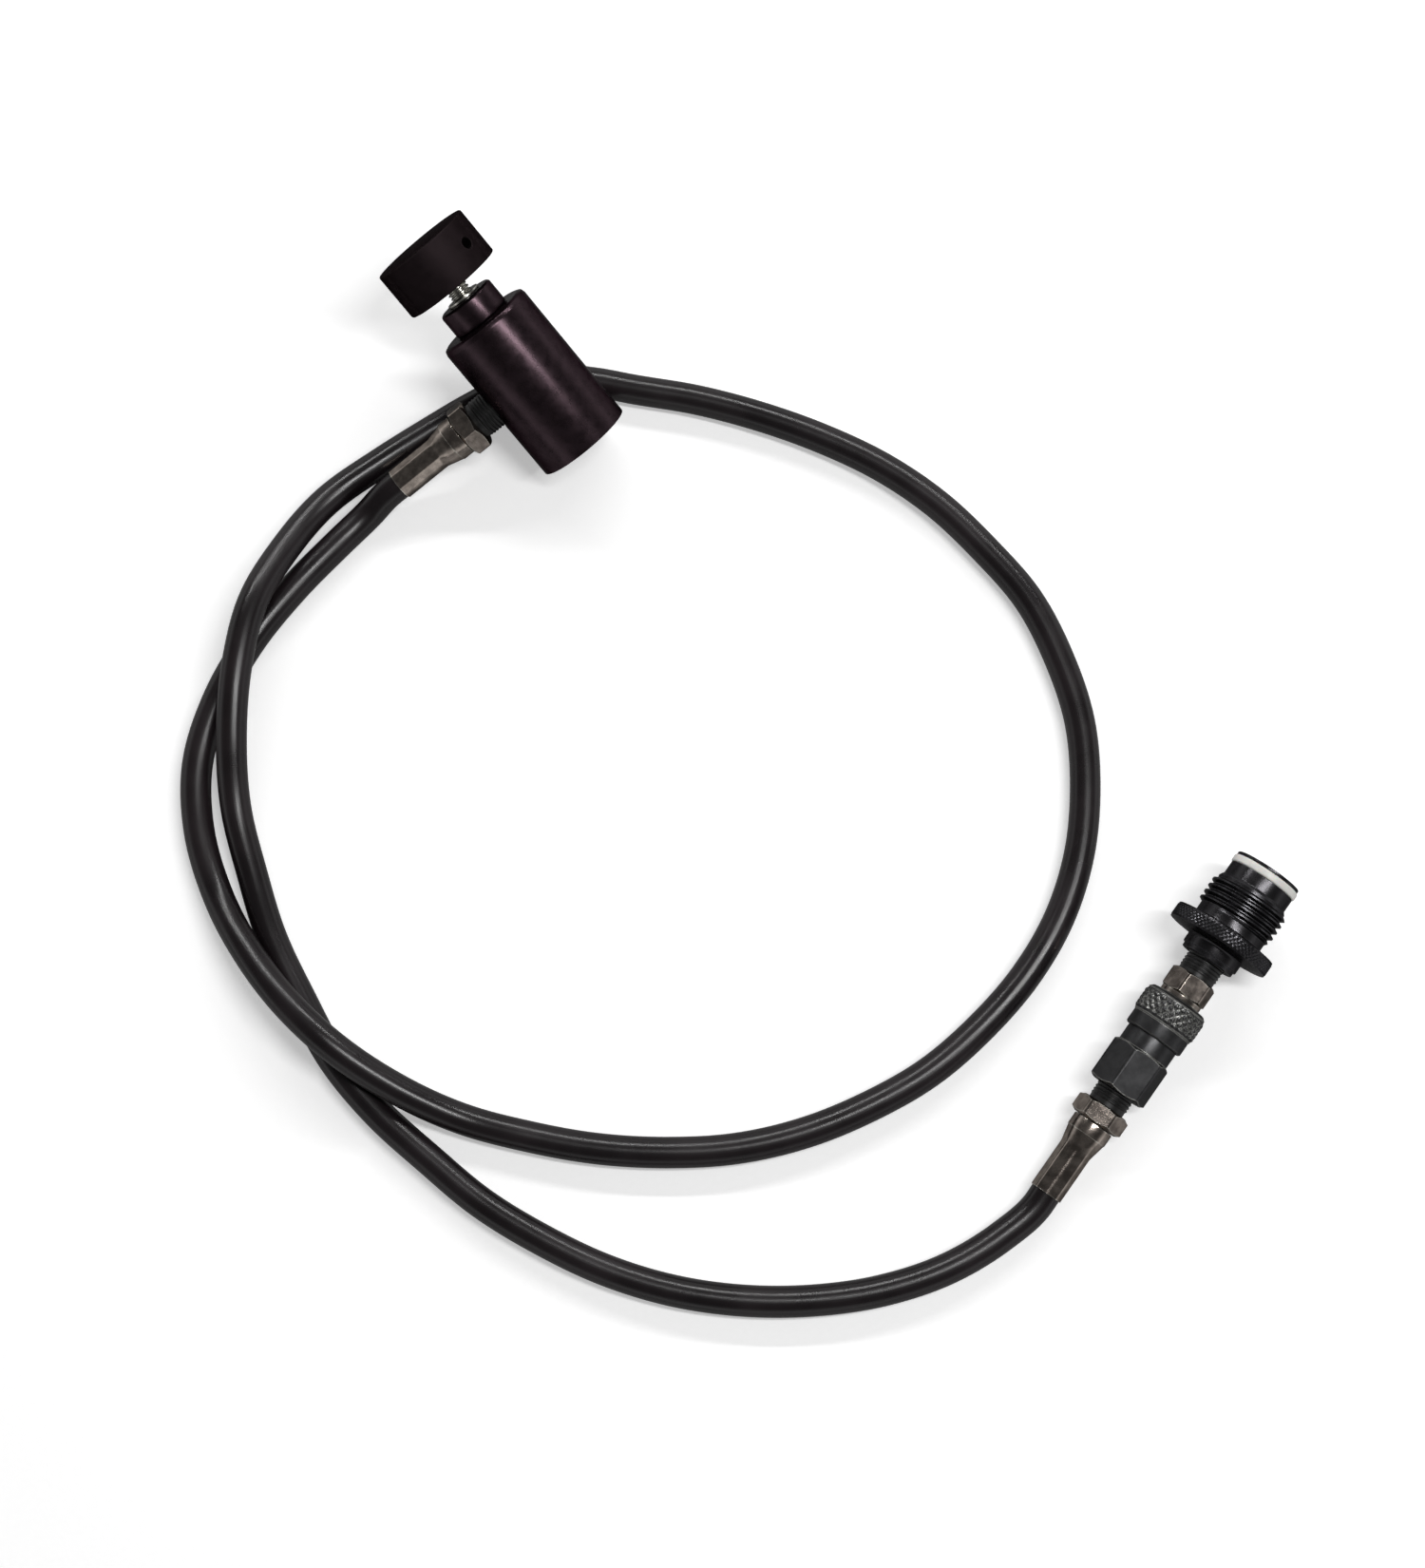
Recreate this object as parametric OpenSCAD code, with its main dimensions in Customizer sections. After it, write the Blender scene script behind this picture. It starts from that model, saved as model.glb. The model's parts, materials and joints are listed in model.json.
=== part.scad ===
// Remote air line: an on/off tank valve and a quick-release adapter, joined by
// a high-pressure hose. Millimetres, +Z up, resting on the plane z = 0.
//
// Each end is drawn along its own axis and then laid down on the floor:
//   valve end    z runs from the tank socket's mouth up to the knob, and the
//                side port points along x
//   adapter end  z runs from the adapter's tip back to the hose
// A hose fitting is drawn along z from its hex's inner face to the hose.

/* [Valve body] */
// Outer diameter of the valve body
body_d = 26; // [25:0.1:32]
// Length of the valve body
body_len = 41.3; // [40:0.1:60]
// Bevel of the body's shoulder
shoulder_bevel = 1.6; // [0.5:0.1:2.2]
// Bevel of the body's lower rim
rim_bevel = 0.4; // [0.2:0.1:1]
// Bore of the tank socket, the minor diameter of its 0.825-14 thread
socket_d = 19.2; // [19:0.05:19.4]
// Depth of the tank socket
socket_depth = 15; // [12:0.5:18]
// Width of the bevel that leads into the tank socket
socket_lead = 1; // [0.5:0.1:1.5]
// Metal between the tank socket and the side port
socket_roof = 1.6; // [1:0.1:4]
// Bore of the gas chamber
chamber_d = 10; // [9.6:0.1:11]
// Length of the wall that guides the pin pusher
guide_len = 3; // [2:0.1:4]

/* [Valve bonnet, stem and knob] */
// Outer diameter of the bonnet's head
bonnet_d = 15.8; // [13:0.1:22]
// Height of the bonnet's head
bonnet_len = 7.1; // [5:0.1:12]
// Thread diameter of the bonnet's spigot
bonnet_thread_d = 12; // [11.6:0.1:12.6]
// Thread length of the bonnet's spigot
bonnet_thread_len = 11.5; // [9:0.1:11.9]
// Diameter of the stem
stem_d = 6; // [5:0.1:7]
// Pitch of the stem's thread, its travel in one turn
stem_pitch = 1; // [0.75:0.05:1.5]
// Turns from closed to open
open_turns = 3; // [1:0.5:3.5]
// Gap between the bonnet and the knob with the valve closed
knob_gap = 4.5; // [4:0.1:8]
// Outer diameter of the knob
knob_d = 27; // [20:0.1:34]
// Thickness of the knob
knob_len = 13.2; // [8:0.1:16]
// Bevel of the knob's edges
knob_bevel = 0.5; // [0.3:0.1:1.2]
// Metal left over the stem's end in the knob
knob_cap = 2.2; // [1:0.1:4]
// Diameter of the knob's grub screw
grub_d = 3; // [2.5:0.1:4]
// Length of the knob's grub screw
grub_len = 5; // [4:0.1:6]
// Turn of the grub screw round the knob
grub_angle = 142; // [0:1:359]
// Diameter of the pin pusher's rod
pusher_d = 5; // [4:0.1:6]
// Diameter of the pin pusher's head
pusher_head_d = 9; // [7:0.1:9.2]
// Thickness of the pin pusher's head
pusher_head_len = 2.8; // [1.5:0.1:3.5]
// How far the pin pusher's tip lies behind the tank socket's floor, valve closed
pusher_recess = 0.4; // [0.2:0.1:1]
// Outer diameter of the washer on the bonnet
washer_d = 9.4; // [8:0.1:12]
// Thickness of the washer on the bonnet
washer_len = 0.8; // [0.5:0.1:1.2]

/* [Hose fittings] */
// Diameter of the fittings' pipe thread
pipe_thread_d = 10.2; // [10:0.1:10.4]
// Pitch of the fittings' pipe thread
pipe_pitch = 0.94; // [0.9:0.01:1.2]
// Depth of the pipe thread's turns
pipe_thread_depth = 0.4; // [0.2:0.05:0.5]
// Width across the flats of a hose fitting's hex
fitting_af = 12.7; // [12:0.1:14]
// Length of a hose fitting's hex
fitting_hex_len = 5; // [4:0.1:8]
// Gas bore of a hose fitting
fitting_bore_d = 3; // [2:0.1:3.4]
// Outer diameter of a fitting's barb
barb_d = 4.6; // [4.4:0.1:4.8]
// Distance from the valve's axis to the hex of its hose fitting
port_hex_x = 18.2; // [17:0.1:24]
// Length of the pipe thread that is screwed into the valve
port_engaged = 6.4; // [5:0.1:7]
// Length of pipe thread in view between the coupler and its hose fitting
coupler_neck_len = 4.6; // [3:0.1:8]
// Length of the pipe thread that is screwed into the coupler
coupler_engaged = 5.8; // [4:0.1:6]

/* [Ferrules] */
// Outer diameter of a ferrule's collar
ferrule_d = 10.8; // [10.6:0.1:12]
// Length of a ferrule
ferrule_len = 21; // [18:0.1:26]
// Length of a ferrule's collar, before the crimp
collar_len = 3.4; // [2.5:0.1:6]
// Length of the taper from the collar to the crimp
crimp_taper_len = 4.6; // [2:0.1:6]
// Diameter over the corners of the crimp
crimp_d = 8.6; // [8.5:0.05:9.2]
// Width across the crimp's flats
crimp_af = 8.3; // [8.1:0.05:8.4]
// Number of flats that the crimp leaves
crimp_flats = 8; // [6:1:10]
// Thickness of a ferrule's end wall
ferrule_wall = 1.4; // [1:0.1:2]

/* [Hose] */
// Outer diameter of the hose
hose_d = 7.9; // [7.6:0.05:7.95]
// Diameter that the crimp squeezes the hose to
squeezed_d = 7; // [6.8:0.05:7.2]
// Sides of the hose's tube
hose_sides = 12; // [8:1:12]

/* [Coupler] */
// Width across the flats of the coupler's hex
coupler_af = 14.3; // [14:0.1:17]
// Length of the coupler's hex
coupler_hex_len = 11.7; // [10:0.1:14]
// Length of the coupler's neck
neck_len = 4.6; // [4.2:0.1:7]
// Diameter of the coupler's barrel under the sleeve
barrel_d = 12; // [11:0.1:13.5]
// Wall of the barrel round the plug's shank
barrel_wall = 0.95; // [0.9:0.05:1.1]
// Length of the coupler's barrel
barrel_len = 10.8; // [10.4:0.1:13]
// Wall of the sleeve's smooth skirt
skirt_wall = 0.95; // [0.5:0.05:1]
// How far the sleeve's gripped front stands out from its skirt
grip_step = 0.6; // [0.5:0.05:1.5]
// Length of the sleeve
sleeve_len = 11.4; // [11:0.1:14]
// Length of the sleeve's gripped front
grip_len = 7.5; // [6.5:0.1:9]
// Bevel at the sleeve's front edge
sleeve_bevel = 1; // [0.4:0.1:1.4]
// How far the sleeve slides to let the plug go
sleeve_travel = 3; // [2:0.1:3.2]
// Wire diameter of the sleeve's spring
sleeve_wire_d = 0.66; // [0.5:0.02:0.7]
// Turns of the sleeve's spring
sleeve_turns = 4.5; // [3:0.5:5]
// Diameter of a locking ball
ball_d = 1.8; // [1.5:0.1:1.8]
// Number of locking balls
ball_count = 6; // [3:1:8]
// Step from the plug's shank down to its nose, in the coupler's socket
nose_step = 1.05; // [1:0.05:1.2]
// Width of the seat that the poppet shuts on
poppet_seat = 0.7; // [0.6:0.05:0.8]
// Travel of the poppet from open to shut
poppet_travel = 2.5; // [1.5:0.1:2.5]
// Thickness of the poppet's disc
poppet_disc_len = 1.5; // [1:0.1:1.8]
// Wire diameter of the poppet's spring
poppet_wire_d = 0.6; // [0.4:0.05:0.6]
// Turns of the poppet's spring
poppet_turns = 2; // [1.5:0.5:2.5]

/* [Plug] */
// Width across the flats of the plug's hex
plug_af = 11.1; // [11:0.1:13]
// Length of the plug's hex
plug_hex_len = 6.3; // [5:0.1:9]
// How far the plug's collar stands out from its shank
plug_collar_step = 0.65; // [0.5:0.05:1.2]
// Gap between the plug's collar and the coupler
plug_gap = 0.4; // [0.3:0.1:1]
// Length of the plug's shank
shank_len = 6.5; // [6:0.1:7]
// Length of the plug's nose
nose_len = 7; // [6:0.1:7.2]
// Depth of the groove that the balls lock in
lock_groove_depth = 0.7; // [0.4:0.05:0.9]
// Gas bore of the plug
plug_bore_d = 3.6; // [2.5:0.1:4]
// Length of the pipe thread that is screwed into the adapter
plug_engaged = 9; // [6:0.1:9.5]
// Length of pipe thread in view between the adapter and the plug's hex
plug_neck_len = 4.8; // [3:0.1:8]

/* [Adapter] */
// Crest diameter of the adapter's 0.825-14 thread
thread_d = 20.96; // [20.8:0.01:21]
// Pitch of the adapter's thread
thread_pitch = 1.814; // [1.8:0.001:1.83]
// Depth of the adapter's thread
thread_depth = 1.1; // [0.9:0.05:1.2]
// Turns of the adapter's thread
thread_turns = 5; // [3:1:6]
// Diameter of the adapter's nose
nose_d = 17.8; // [17.4:0.1:18.2]
// Length from the adapter's tip to its thread
adapter_nose_len = 7.2; // [6:0.1:10]
// Outer diameter of the seal ring on the nose
seal_ring_d = 18.5; // [18.3:0.1:18.8]
// Width of the seal ring on the nose
seal_ring_len = 2.1; // [1.6:0.1:2.6]
// Width of the lip in front of the seal ring
lip_len = 0.85; // [0.6:0.05:1.5]
// Depth of the seal ring's groove
seal_groove_depth = 1.3; // [0.8:0.1:1.8]
// Diameter of the adapter's flange
flange_d = 28; // [26:0.1:34]
// Thickness of the adapter's flange at its root
flange_len = 5.4; // [4:0.1:8]
// How far each face of the flange slopes back from its root to its rim
flange_slope = 0.8; // [0.5:0.1:1.6]
// Diameter of the adapter's boss
boss_d = 15.4; // [14:0.1:18]
// Length of the adapter's boss
boss_len = 3.9; // [3:0.1:9]
// Gas bore of the adapter
adapter_bore_d = 4; // [3:0.1:6]

/* [Fits] */
// Radial clearance of what turns or slides
running_fit = 0.05; // [0.03:0.01:0.08]
// Radial clearance of what is screwed or pressed together
thread_fit = 0.05; // [0.03:0.01:0.1]
// Gap between faces that stay apart
face_gap = 0.2; // [0.1:0.05:0.3]
// Cord diameter of the small O-rings
ring_cord_d = 0.9; // [0.7:0.05:1]
// Clearance round an O-ring in its groove
ring_fit = 0.03; // [0.01:0.01:0.05]
// Clearance of the sleeve's spring inside and outside its coil
spring_fit = 0.17; // [0.15:0.01:0.25]

/* [Layout] */
// Lift of the valve's axis towards its knob
valve_lift = 25.5; // [20:0.5:28]
// Roll of the valve that points its side port down
valve_roll = 18.5; // [15:0.5:19]
// Heading of the valve about +Z
valve_heading = -136.5; // [-150:0.5:-120]
// Lift of the adapter end's axis towards its tip
plug_lift = 6.9; // [6:0.1:7]
// Heading of the adapter end about +Z
plug_heading = -35.5; // [-45:0.5:-25]

/* [Hidden] */

$fn = 64;
EPS = 0.01;          // overlap of a cut past the face that it opens
SMALL_BEVEL = 0.3;   // bevel of small turned edges
HEX_BEVEL = 0.07;    // bevel of a hex's corners, as a share of its diameter
SMALL_FN = 32;       // facets of small parts
SPRING_STEPS = 16;   // straight steps in a turn of a spring
COUPLER_HEX_TURN = 48;
PLUG_HEX_TURN = 48;
MARKER_HEX_TURN = 54;
TANK_HEX_TURN = 21;
FLAT_LEAD = 0.2;     // how far a crimp's flats reach into its taper

ANODISED_PLUM = "#3b2a33";
ANODISED_BLACK = "#17181a";
BRIGHT_STEEL = "#c4c4c0";
DARK_STEEL = "#4a4842";
BLACK_OXIDE = "#2b2b2c";
RUBBER = "#141414";
URETHANE = "#eceae2";
HOSE_BLACK = "#101112";

// ---- valve: heights above the tank socket's mouth --------------------------
travel = stem_pitch * open_turns;
pipe_socket_d = pipe_thread_d + 2 * thread_fit;
port_z = socket_depth + socket_roof + pipe_socket_d / 2;
chamber_z = socket_depth + guide_len;
ledge_z = body_len - bonnet_thread_len - face_gap;
pusher_top_z = ledge_z - 1.2;
pusher_head_z = pusher_top_z - pusher_head_len;
pusher_tip_z = socket_depth + pusher_recess;
pusher_tip_d = 3;
pusher_tip_len = 1.4;
port_start_x = pusher_d / 2 + 1;
bonnet_z = body_len - bonnet_thread_len;
bonnet_top_z = body_len + bonnet_len;
knob_z = bonnet_top_z + knob_gap;
knob_top_z = knob_z + knob_len;
stem_top_z = knob_top_z - knob_cap - face_gap;
bonnet_ring_z = bonnet_z + 3;
stem_ring_z = bonnet_z + 7;
stem_bore_d = stem_d + 2 * running_fit;

// ---- adapter end: distances from the adapter's tip --------------------------
seal_ring_z = lip_len;
thread_z = adapter_nose_len;
thread_len = thread_pitch * thread_turns;
relief_len = 1.9;
flange_z = thread_z + thread_len + relief_len;
flange_back_z = flange_z + flange_len;
boss_back_z = flange_back_z + boss_len;
plug_hex_z = boss_back_z + plug_neck_len;
collar_z = plug_hex_z + plug_hex_len;
plug_collar_len = 1.2;
shank_z = collar_z + plug_collar_len;
coupler_z = shank_z + plug_gap;
lock_z = coupler_z + 2.4;
shank_back_z = shank_z + shank_len;
nose_z = shank_back_z + 1;
plug_end_z = nose_z - 1 + nose_len;
plug_ring_z = shank_back_z - 1;
nose_socket_z = nose_z + 0.1;
coupler_seal_z = nose_socket_z + 2.2;
poppet_seat_z = plug_end_z + 1;
poppet_z = poppet_seat_z + poppet_travel + 0.1;
poppet_seal_len = 0.6;
poppet_back_z = poppet_z + poppet_seal_len + poppet_disc_len;
neck_z = coupler_z + barrel_len;
coupler_hex_z = neck_z + neck_len;
coupler_back_z = coupler_hex_z + coupler_hex_len;
hose_hex_z = coupler_back_z + coupler_neck_len;
fitting_front_z = coupler_back_z - coupler_engaged;
sleeve_z = coupler_z - plug_gap;
snap_ring_z = coupler_z + 0.3;
snap_ring_len = 0.6;
snap_ring_d = barrel_d + 2.3;
plug_socket_d = barrel_d - 2 * barrel_wall;
nose_socket_d = plug_socket_d - 2 * nose_step;
poppet_bore_d = nose_socket_d + 2 * poppet_seat;
sleeve_step_z = snap_ring_z + snap_ring_len + 0.1;
sleeve_lip_z = lock_z + ball_d / 2 + 0.4;
sleeve_lip_len = 0.6;
sleeve_bore_d = barrel_d + 2 * (sleeve_wire_d + 2 * spring_fit);
neck_d = sleeve_bore_d - 2 * running_fit;
skirt_d = sleeve_bore_d + 2 * skirt_wall;
sleeve_d = skirt_d + 2 * grip_step;
ball_ring_r = plug_socket_d / 2 + ball_d / 2 + 0.02;

// ---- the two ends where they lie --------------------------------------------
rim_r = body_d / 2 - rim_bevel;
valve_rest_z = max(rim_r * cos(valve_lift), body_d / 2 * cos(valve_lift) - rim_bevel * sin(valve_lift));
valve_pos = [-64.9, 72, valve_rest_z];
plug_rest_z = flange_d / 2 * cos(plug_lift) + (flange_back_z - flange_slope) * sin(plug_lift);
plug_pos = [108.3, -42.8, plug_rest_z];
mouth_x = port_hex_x + fitting_hex_len + ferrule_len + face_gap;
mouth_z = hose_hex_z + fitting_hex_len + ferrule_len + face_gap;

function turn_x(v, a) = [v[0], v[1] * cos(a) - v[2] * sin(a), v[1] * sin(a) + v[2] * cos(a)];
function turn_z(v, a) = [v[0] * cos(a) - v[1] * sin(a), v[0] * sin(a) + v[1] * cos(a), v[2]];
function valve_dir(v) = turn_z(turn_x(turn_z(v, -valve_roll), 90 - valve_lift), valve_heading);
function plug_dir(v) = turn_z(turn_x(v, 90 + plug_lift), plug_heading);

module at_valve() {
    translate(valve_pos) rotate([90 - valve_lift, 0, valve_heading]) rotate([0, 0, -valve_roll]) children();
}
module at_port() {
    at_valve() translate([0, 0, port_z]) rotate([0, 90, 0]) children();
}
module at_plug() {
    translate(plug_pos) rotate([90 + plug_lift, 0, plug_heading]) children();
}

// ---- the hose's route: x, y and lift off the floor ---------------------------
HOSE_STRAIGHT = 4;   // straight run at each ferrule
HOSE_FLOOR_GAP = 0.1;
ROUTE = [
    [-121.5, 54.5, 0.5], [-129, 47, 0], [-141, 34, 0], [-151.5, 20, 0],
    [-159.5, 4.5, 0], [-164, -12.5, 0], [-163, -29.5, 0], [-157.5, -46.5, 1],
    [-149, -61.5, 5.5], [-138, -75.5, 9], [-128.5, -84.5, 9.5], [-110.5, -96.5, 5],
    [-94.5, -103.5, 0.5], [-77.5, -108, 0], [-60.5, -111, 0], [-43, -112, 0],
    [-25.5, -111, 0], [-8, -107, 0], [8, -100.5, 0], [23, -92, 0],
    [36.5, -80.5, 0], [48, -67.5, 0], [57, -52.5, 0], [62.5, -36, 0],
    [64.5, -18.5, 0], [63.5, -1, 0], [58.5, 16, 0], [51, 31.5, 0], [40, 45, 0],
    [27.5, 57.5, 0], [13.5, 67.5, 0], [-2.5, 75.5, 0], [-18.5, 81.5, 0],
    [-35.5, 86.2, 0], [-52, 89.1, 0], [-63, 91.2, 0], [-74, 92, 0], [-84.5, 89.7, 0],
    [-95, 84.2, 0], [-106, 77.3, 0], [-118.5, 69, 0], [-132.5, 58, 1], [-142.5, 44, 4.5], [-150, 28, 8.5],
    [-153, 13.5, 9], [-154.5, -6.5, 6], [-153.5, -24, 1.5], [-149, -41, 0],
    [-143.5, -57.5, 0], [-135.5, -73.5, 0], [-127, -88.5, 0], [-115.5, -102, 0],
    [-102.5, -113.5, 0], [-89, -124.5, 0], [-74, -133.5, 0], [-58, -141, 0],
    [-41.5, -146, 0], [-24, -148.5, 0], [-6.5, -148.5, 0], [11, -146, 0],
    [27.5, -140.5, 0], [41, -132.5, 0]
];
hose_start = valve_pos + valve_dir([mouth_x, 0, port_z]);
hose_end = plug_pos + plug_dir([0, 0, mouth_z]);
hose_floor_z = hose_d / 2 + HOSE_FLOOR_GAP;
hose_line = concat(
    [hose_start, hose_start + HOSE_STRAIGHT * valve_dir([1, 0, 0])],
    [for (p = ROUTE) [p[0], p[1], hose_floor_z + p[2]]],
    [hose_end + HOSE_STRAIGHT * plug_dir([0, 0, 1]), hose_end]
);

// Length of a line of points, and a direction's unit vector
function unit(v) = v / norm(v);
function spans(line) = [for (i = [1:len(line) - 1]) norm(line[i] - line[i - 1])];
function total(v, i = 0) = i == len(v) ? 0 : v[i] + total(v, i + 1);

// Four points on each span, each with its distance along the line
function samples(line) = [for (i = [0:len(line) - 2], k = [0:3]) line[i] + k / 4 * (line[i + 1] - line[i])];
SELF_SKIP = 12;      // samples nearer than this along the hose aren't compared
hose_samples = samples(hose_line);
hose_self_gap = min([for (i = [0:len(hose_samples) - SELF_SKIP - 1])
    min([for (j = [i + SELF_SKIP:len(hose_samples) - 1]) norm(hose_samples[i] - hose_samples[j])])]) - hose_d;
echo(hose_length = total(spans(hose_line)), hose_least_gap_to_itself = hose_self_gap, rings = len(hose_line));

// ---- swept tubes ---------------------------------------------------------------
// Direction of a line at point i: the mean of the spans that meet there
function heading(line, i) = unit(
    (i > 0 ? unit(line[i] - line[i - 1]) : [0, 0, 0])
    + (i < len(line) - 1 ? unit(line[i + 1] - line[i]) : [0, 0, 0]));
// Ring i of a tube: a circle square to the line there, with one axis level
function ring(line, i, r, sides) =
    let (t = heading(line, i), side = unit(cross([0, 0, 1], t)), up = cross(t, side))
    [for (k = [0:sides - 1]) line[i] + r * (cos(360 * k / sides) * side + sin(360 * k / sides) * up)];

module tube(line, r, sides) {
    last = (len(line) - 1) * sides;
    polyhedron(
        points = [for (i = [0:len(line) - 1]) each ring(line, i, r, sides)],
        faces = [
            for (i = [0:len(line) - 2], k = [0:sides - 1]) each
                let (a = i * sides + k, b = i * sides + (k + 1) % sides)
                [[a, a + sides, b], [b, a + sides, b + sides]],
            for (k = [1:sides - 2]) [0, k, k + 1],
            for (k = [1:sides - 2]) [last, last + k + 1, last + k]
        ],
        convexity = 10
    );
}

// A coil spring between two heights
module spring(mean_d, wire_d, z0, z1, turns) {
    steps = SPRING_STEPS * turns;
    rise = z1 - z0 - wire_d;
    tube([for (i = [0:steps]) let (turn = 360 * i / SPRING_STEPS) [
        mean_d / 2 * cos(turn), mean_d / 2 * sin(turn), z0 + wire_d / 2 + rise * i / steps
    ]], wire_d / 2, 6);
}

// ---- turned shapes ----------------------------------------------------------------
// A solid of revolution from [radius, height] points
module turned(profile) { rotate_extrude() polygon(profile); }

// A plain round between two heights, with a bevel at either end
module round_bar(d, z0, z1, bevel0 = 0, bevel1 = 0) {
    r = d / 2;
    turned([[0, z0], [r - bevel0, z0], [r, z0 + bevel0], [r, z1 - bevel1], [r - bevel1, z1], [0, z1]]);
}

// A bore between two heights
module bore(d, z0, z1) { translate([0, 0, z0]) cylinder(d = d, h = z1 - z0); }

// A hexagon whose corners are bevelled at both ends
module hex_bar(af, z0, z1, turn = 0) {
    corner_d = af / cos(30);
    intersection() {
        rotate([0, 0, turn]) translate([0, 0, z0]) cylinder(d = corner_d, h = z1 - z0, $fn = 6);
        round_bar(corner_d + 0.2, z0, z1, corner_d * HEX_BEVEL, corner_d * HEX_BEVEL);
    }
}

// Turns of a thread, drawn as rings: crests of a quarter pitch between V grooves
module threaded_bar(d, depth, pitch, z0, turns) {
    r = d / 2;
    turned(concat(
        [[0, z0], [r - depth, z0]],
        [for (i = [0:turns - 1]) let (z = z0 + i * pitch) each [
            [r - depth, z + pitch * 0.1],
            [r, z + pitch * 0.38],
            [r, z + pitch * 0.62],
            [r - depth, z + pitch * 0.9]
        ]],
        [[r - depth, z0 + turns * pitch], [0, z0 + turns * pitch]]
    ));
}

// A pipe thread between two heights, with its plain core filling what is left
module pipe_thread(z0, z1) {
    turns = floor((z1 - z0) / pipe_pitch);
    threaded_bar(pipe_thread_d, pipe_thread_depth, pipe_pitch, z0, turns);
    bore(pipe_thread_d - 2 * pipe_thread_depth, z0, z1);
}

// An O-ring round the axis
module o_ring(mean_d, cord_d, z) {
    translate([0, 0, z]) rotate_extrude() translate([mean_d / 2, 0]) circle(d = cord_d, $fn = SMALL_FN);
}

// The groove that an O-ring of this mean diameter lies in, as a square ring
module ring_groove(mean_d, cord_d, z) {
    w = cord_d / 2 + ring_fit;
    r = mean_d / 2;
    turned([[r - w, z - w], [r + w, z - w], [r + w, z + w], [r - w, z + w]]);
}

// A short bore on both sides of a height
module ring_cut(d, z, half) { bore(d, z - half, z + half); }

// Mean diameter of an O-ring whose outside just clears a bore
function ring_in_bore(bore_d, cord_d) = bore_d - cord_d - 2 * ring_fit;

// ---- valve --------------------------------------------------------------------------
module valve_body() {
    color(ANODISED_PLUM) at_valve() difference() {
        round_bar(body_d, 0, body_len, rim_bevel, shoulder_bevel);
        bore(socket_d, -EPS, socket_depth);
        turned([[0, -EPS], [socket_d / 2 + socket_lead, -EPS], [socket_d / 2 + socket_lead, 0],
            [socket_d / 2, socket_lead], [0, socket_lead]]);
        bore(pusher_d + 2 * running_fit, socket_depth - EPS, chamber_z + EPS);
        bore(chamber_d, chamber_z, ledge_z + EPS);
        bore(bonnet_thread_d + 2 * thread_fit, ledge_z, body_len + EPS);
        translate([0, 0, port_z]) rotate([0, 90, 0]) bore(pipe_socket_d, port_start_x, body_d);
    }
}

bonnet_ring_mean_d = ring_in_bore(bonnet_thread_d, ring_cord_d);
stem_ring_mean_d = ring_in_bore(stem_d, ring_cord_d);

module bonnet() {
    color(ANODISED_PLUM) at_valve() difference() {
        union() {
            round_bar(bonnet_d, body_len, bonnet_top_z, SMALL_BEVEL, SMALL_BEVEL * 2);
            round_bar(bonnet_thread_d, bonnet_z, body_len + EPS, SMALL_BEVEL, 0);
        }
        bore(stem_bore_d, bonnet_z - EPS, bonnet_top_z + EPS);
        difference() {
            ring_cut(bonnet_thread_d + 1, bonnet_ring_z, ring_cord_d / 2 + ring_fit);
            ring_cut(bonnet_ring_mean_d - ring_cord_d - 2 * ring_fit, bonnet_ring_z, ring_cord_d);
        }
    }
}

module bonnet_o_ring() {
    color(RUBBER) at_valve() o_ring(bonnet_ring_mean_d, ring_cord_d, bonnet_ring_z);
}

module stem_washer() {
    color(BRIGHT_STEEL) at_valve() difference() {
        round_bar(washer_d, bonnet_top_z, bonnet_top_z + washer_len, 0, SMALL_BEVEL / 2);
        bore(stem_bore_d, bonnet_top_z - EPS, bonnet_top_z + washer_len + EPS);
    }
}

module stem() {
    color(BRIGHT_STEEL) at_valve() difference() {
        round_bar(stem_d, pusher_top_z, stem_top_z, SMALL_BEVEL, SMALL_BEVEL);
        difference() {
            ring_cut(stem_d + 1, stem_ring_z, ring_cord_d / 2 + ring_fit);
            ring_cut(stem_ring_mean_d - ring_cord_d - 2 * ring_fit, stem_ring_z, ring_cord_d);
        }
    }
}

module stem_o_ring() {
    color(RUBBER) at_valve() o_ring(stem_ring_mean_d, ring_cord_d, stem_ring_z);
}

module in_grub_hole() {
    rotate([0, 0, grub_angle]) translate([0, 0, knob_z + knob_len / 2]) rotate([0, 90, 0]) children();
}

module knob() {
    color(ANODISED_BLACK) at_valve() difference() {
        round_bar(knob_d, knob_z, knob_top_z, knob_bevel, knob_bevel);
        bore(stem_d + 2 * thread_fit, knob_z - EPS, stem_top_z + face_gap);
        in_grub_hole() bore(grub_d + 2 * thread_fit, 0, knob_d);
    }
}

module knob_grub_screw() {
    hex_d = grub_d * 0.55;
    start = stem_d / 2 + face_gap;
    color(BLACK_OXIDE) at_valve() in_grub_hole() difference() {
        round_bar(grub_d, start, start + grub_len, SMALL_BEVEL, SMALL_BEVEL / 2);
        translate([0, 0, start + grub_len * 0.6]) cylinder(d = hex_d, h = grub_len, $fn = 6);
    }
}

module pin_pusher() {
    color(BRIGHT_STEEL) at_valve() union() {
        round_bar(pusher_head_d, pusher_head_z, pusher_top_z, SMALL_BEVEL, SMALL_BEVEL);
        round_bar(pusher_d, pusher_tip_z + pusher_tip_len - EPS, pusher_head_z + EPS, SMALL_BEVEL, 0);
        round_bar(pusher_tip_d, pusher_tip_z, pusher_tip_z + pusher_tip_len, SMALL_BEVEL, 0);
    }
}

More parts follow.
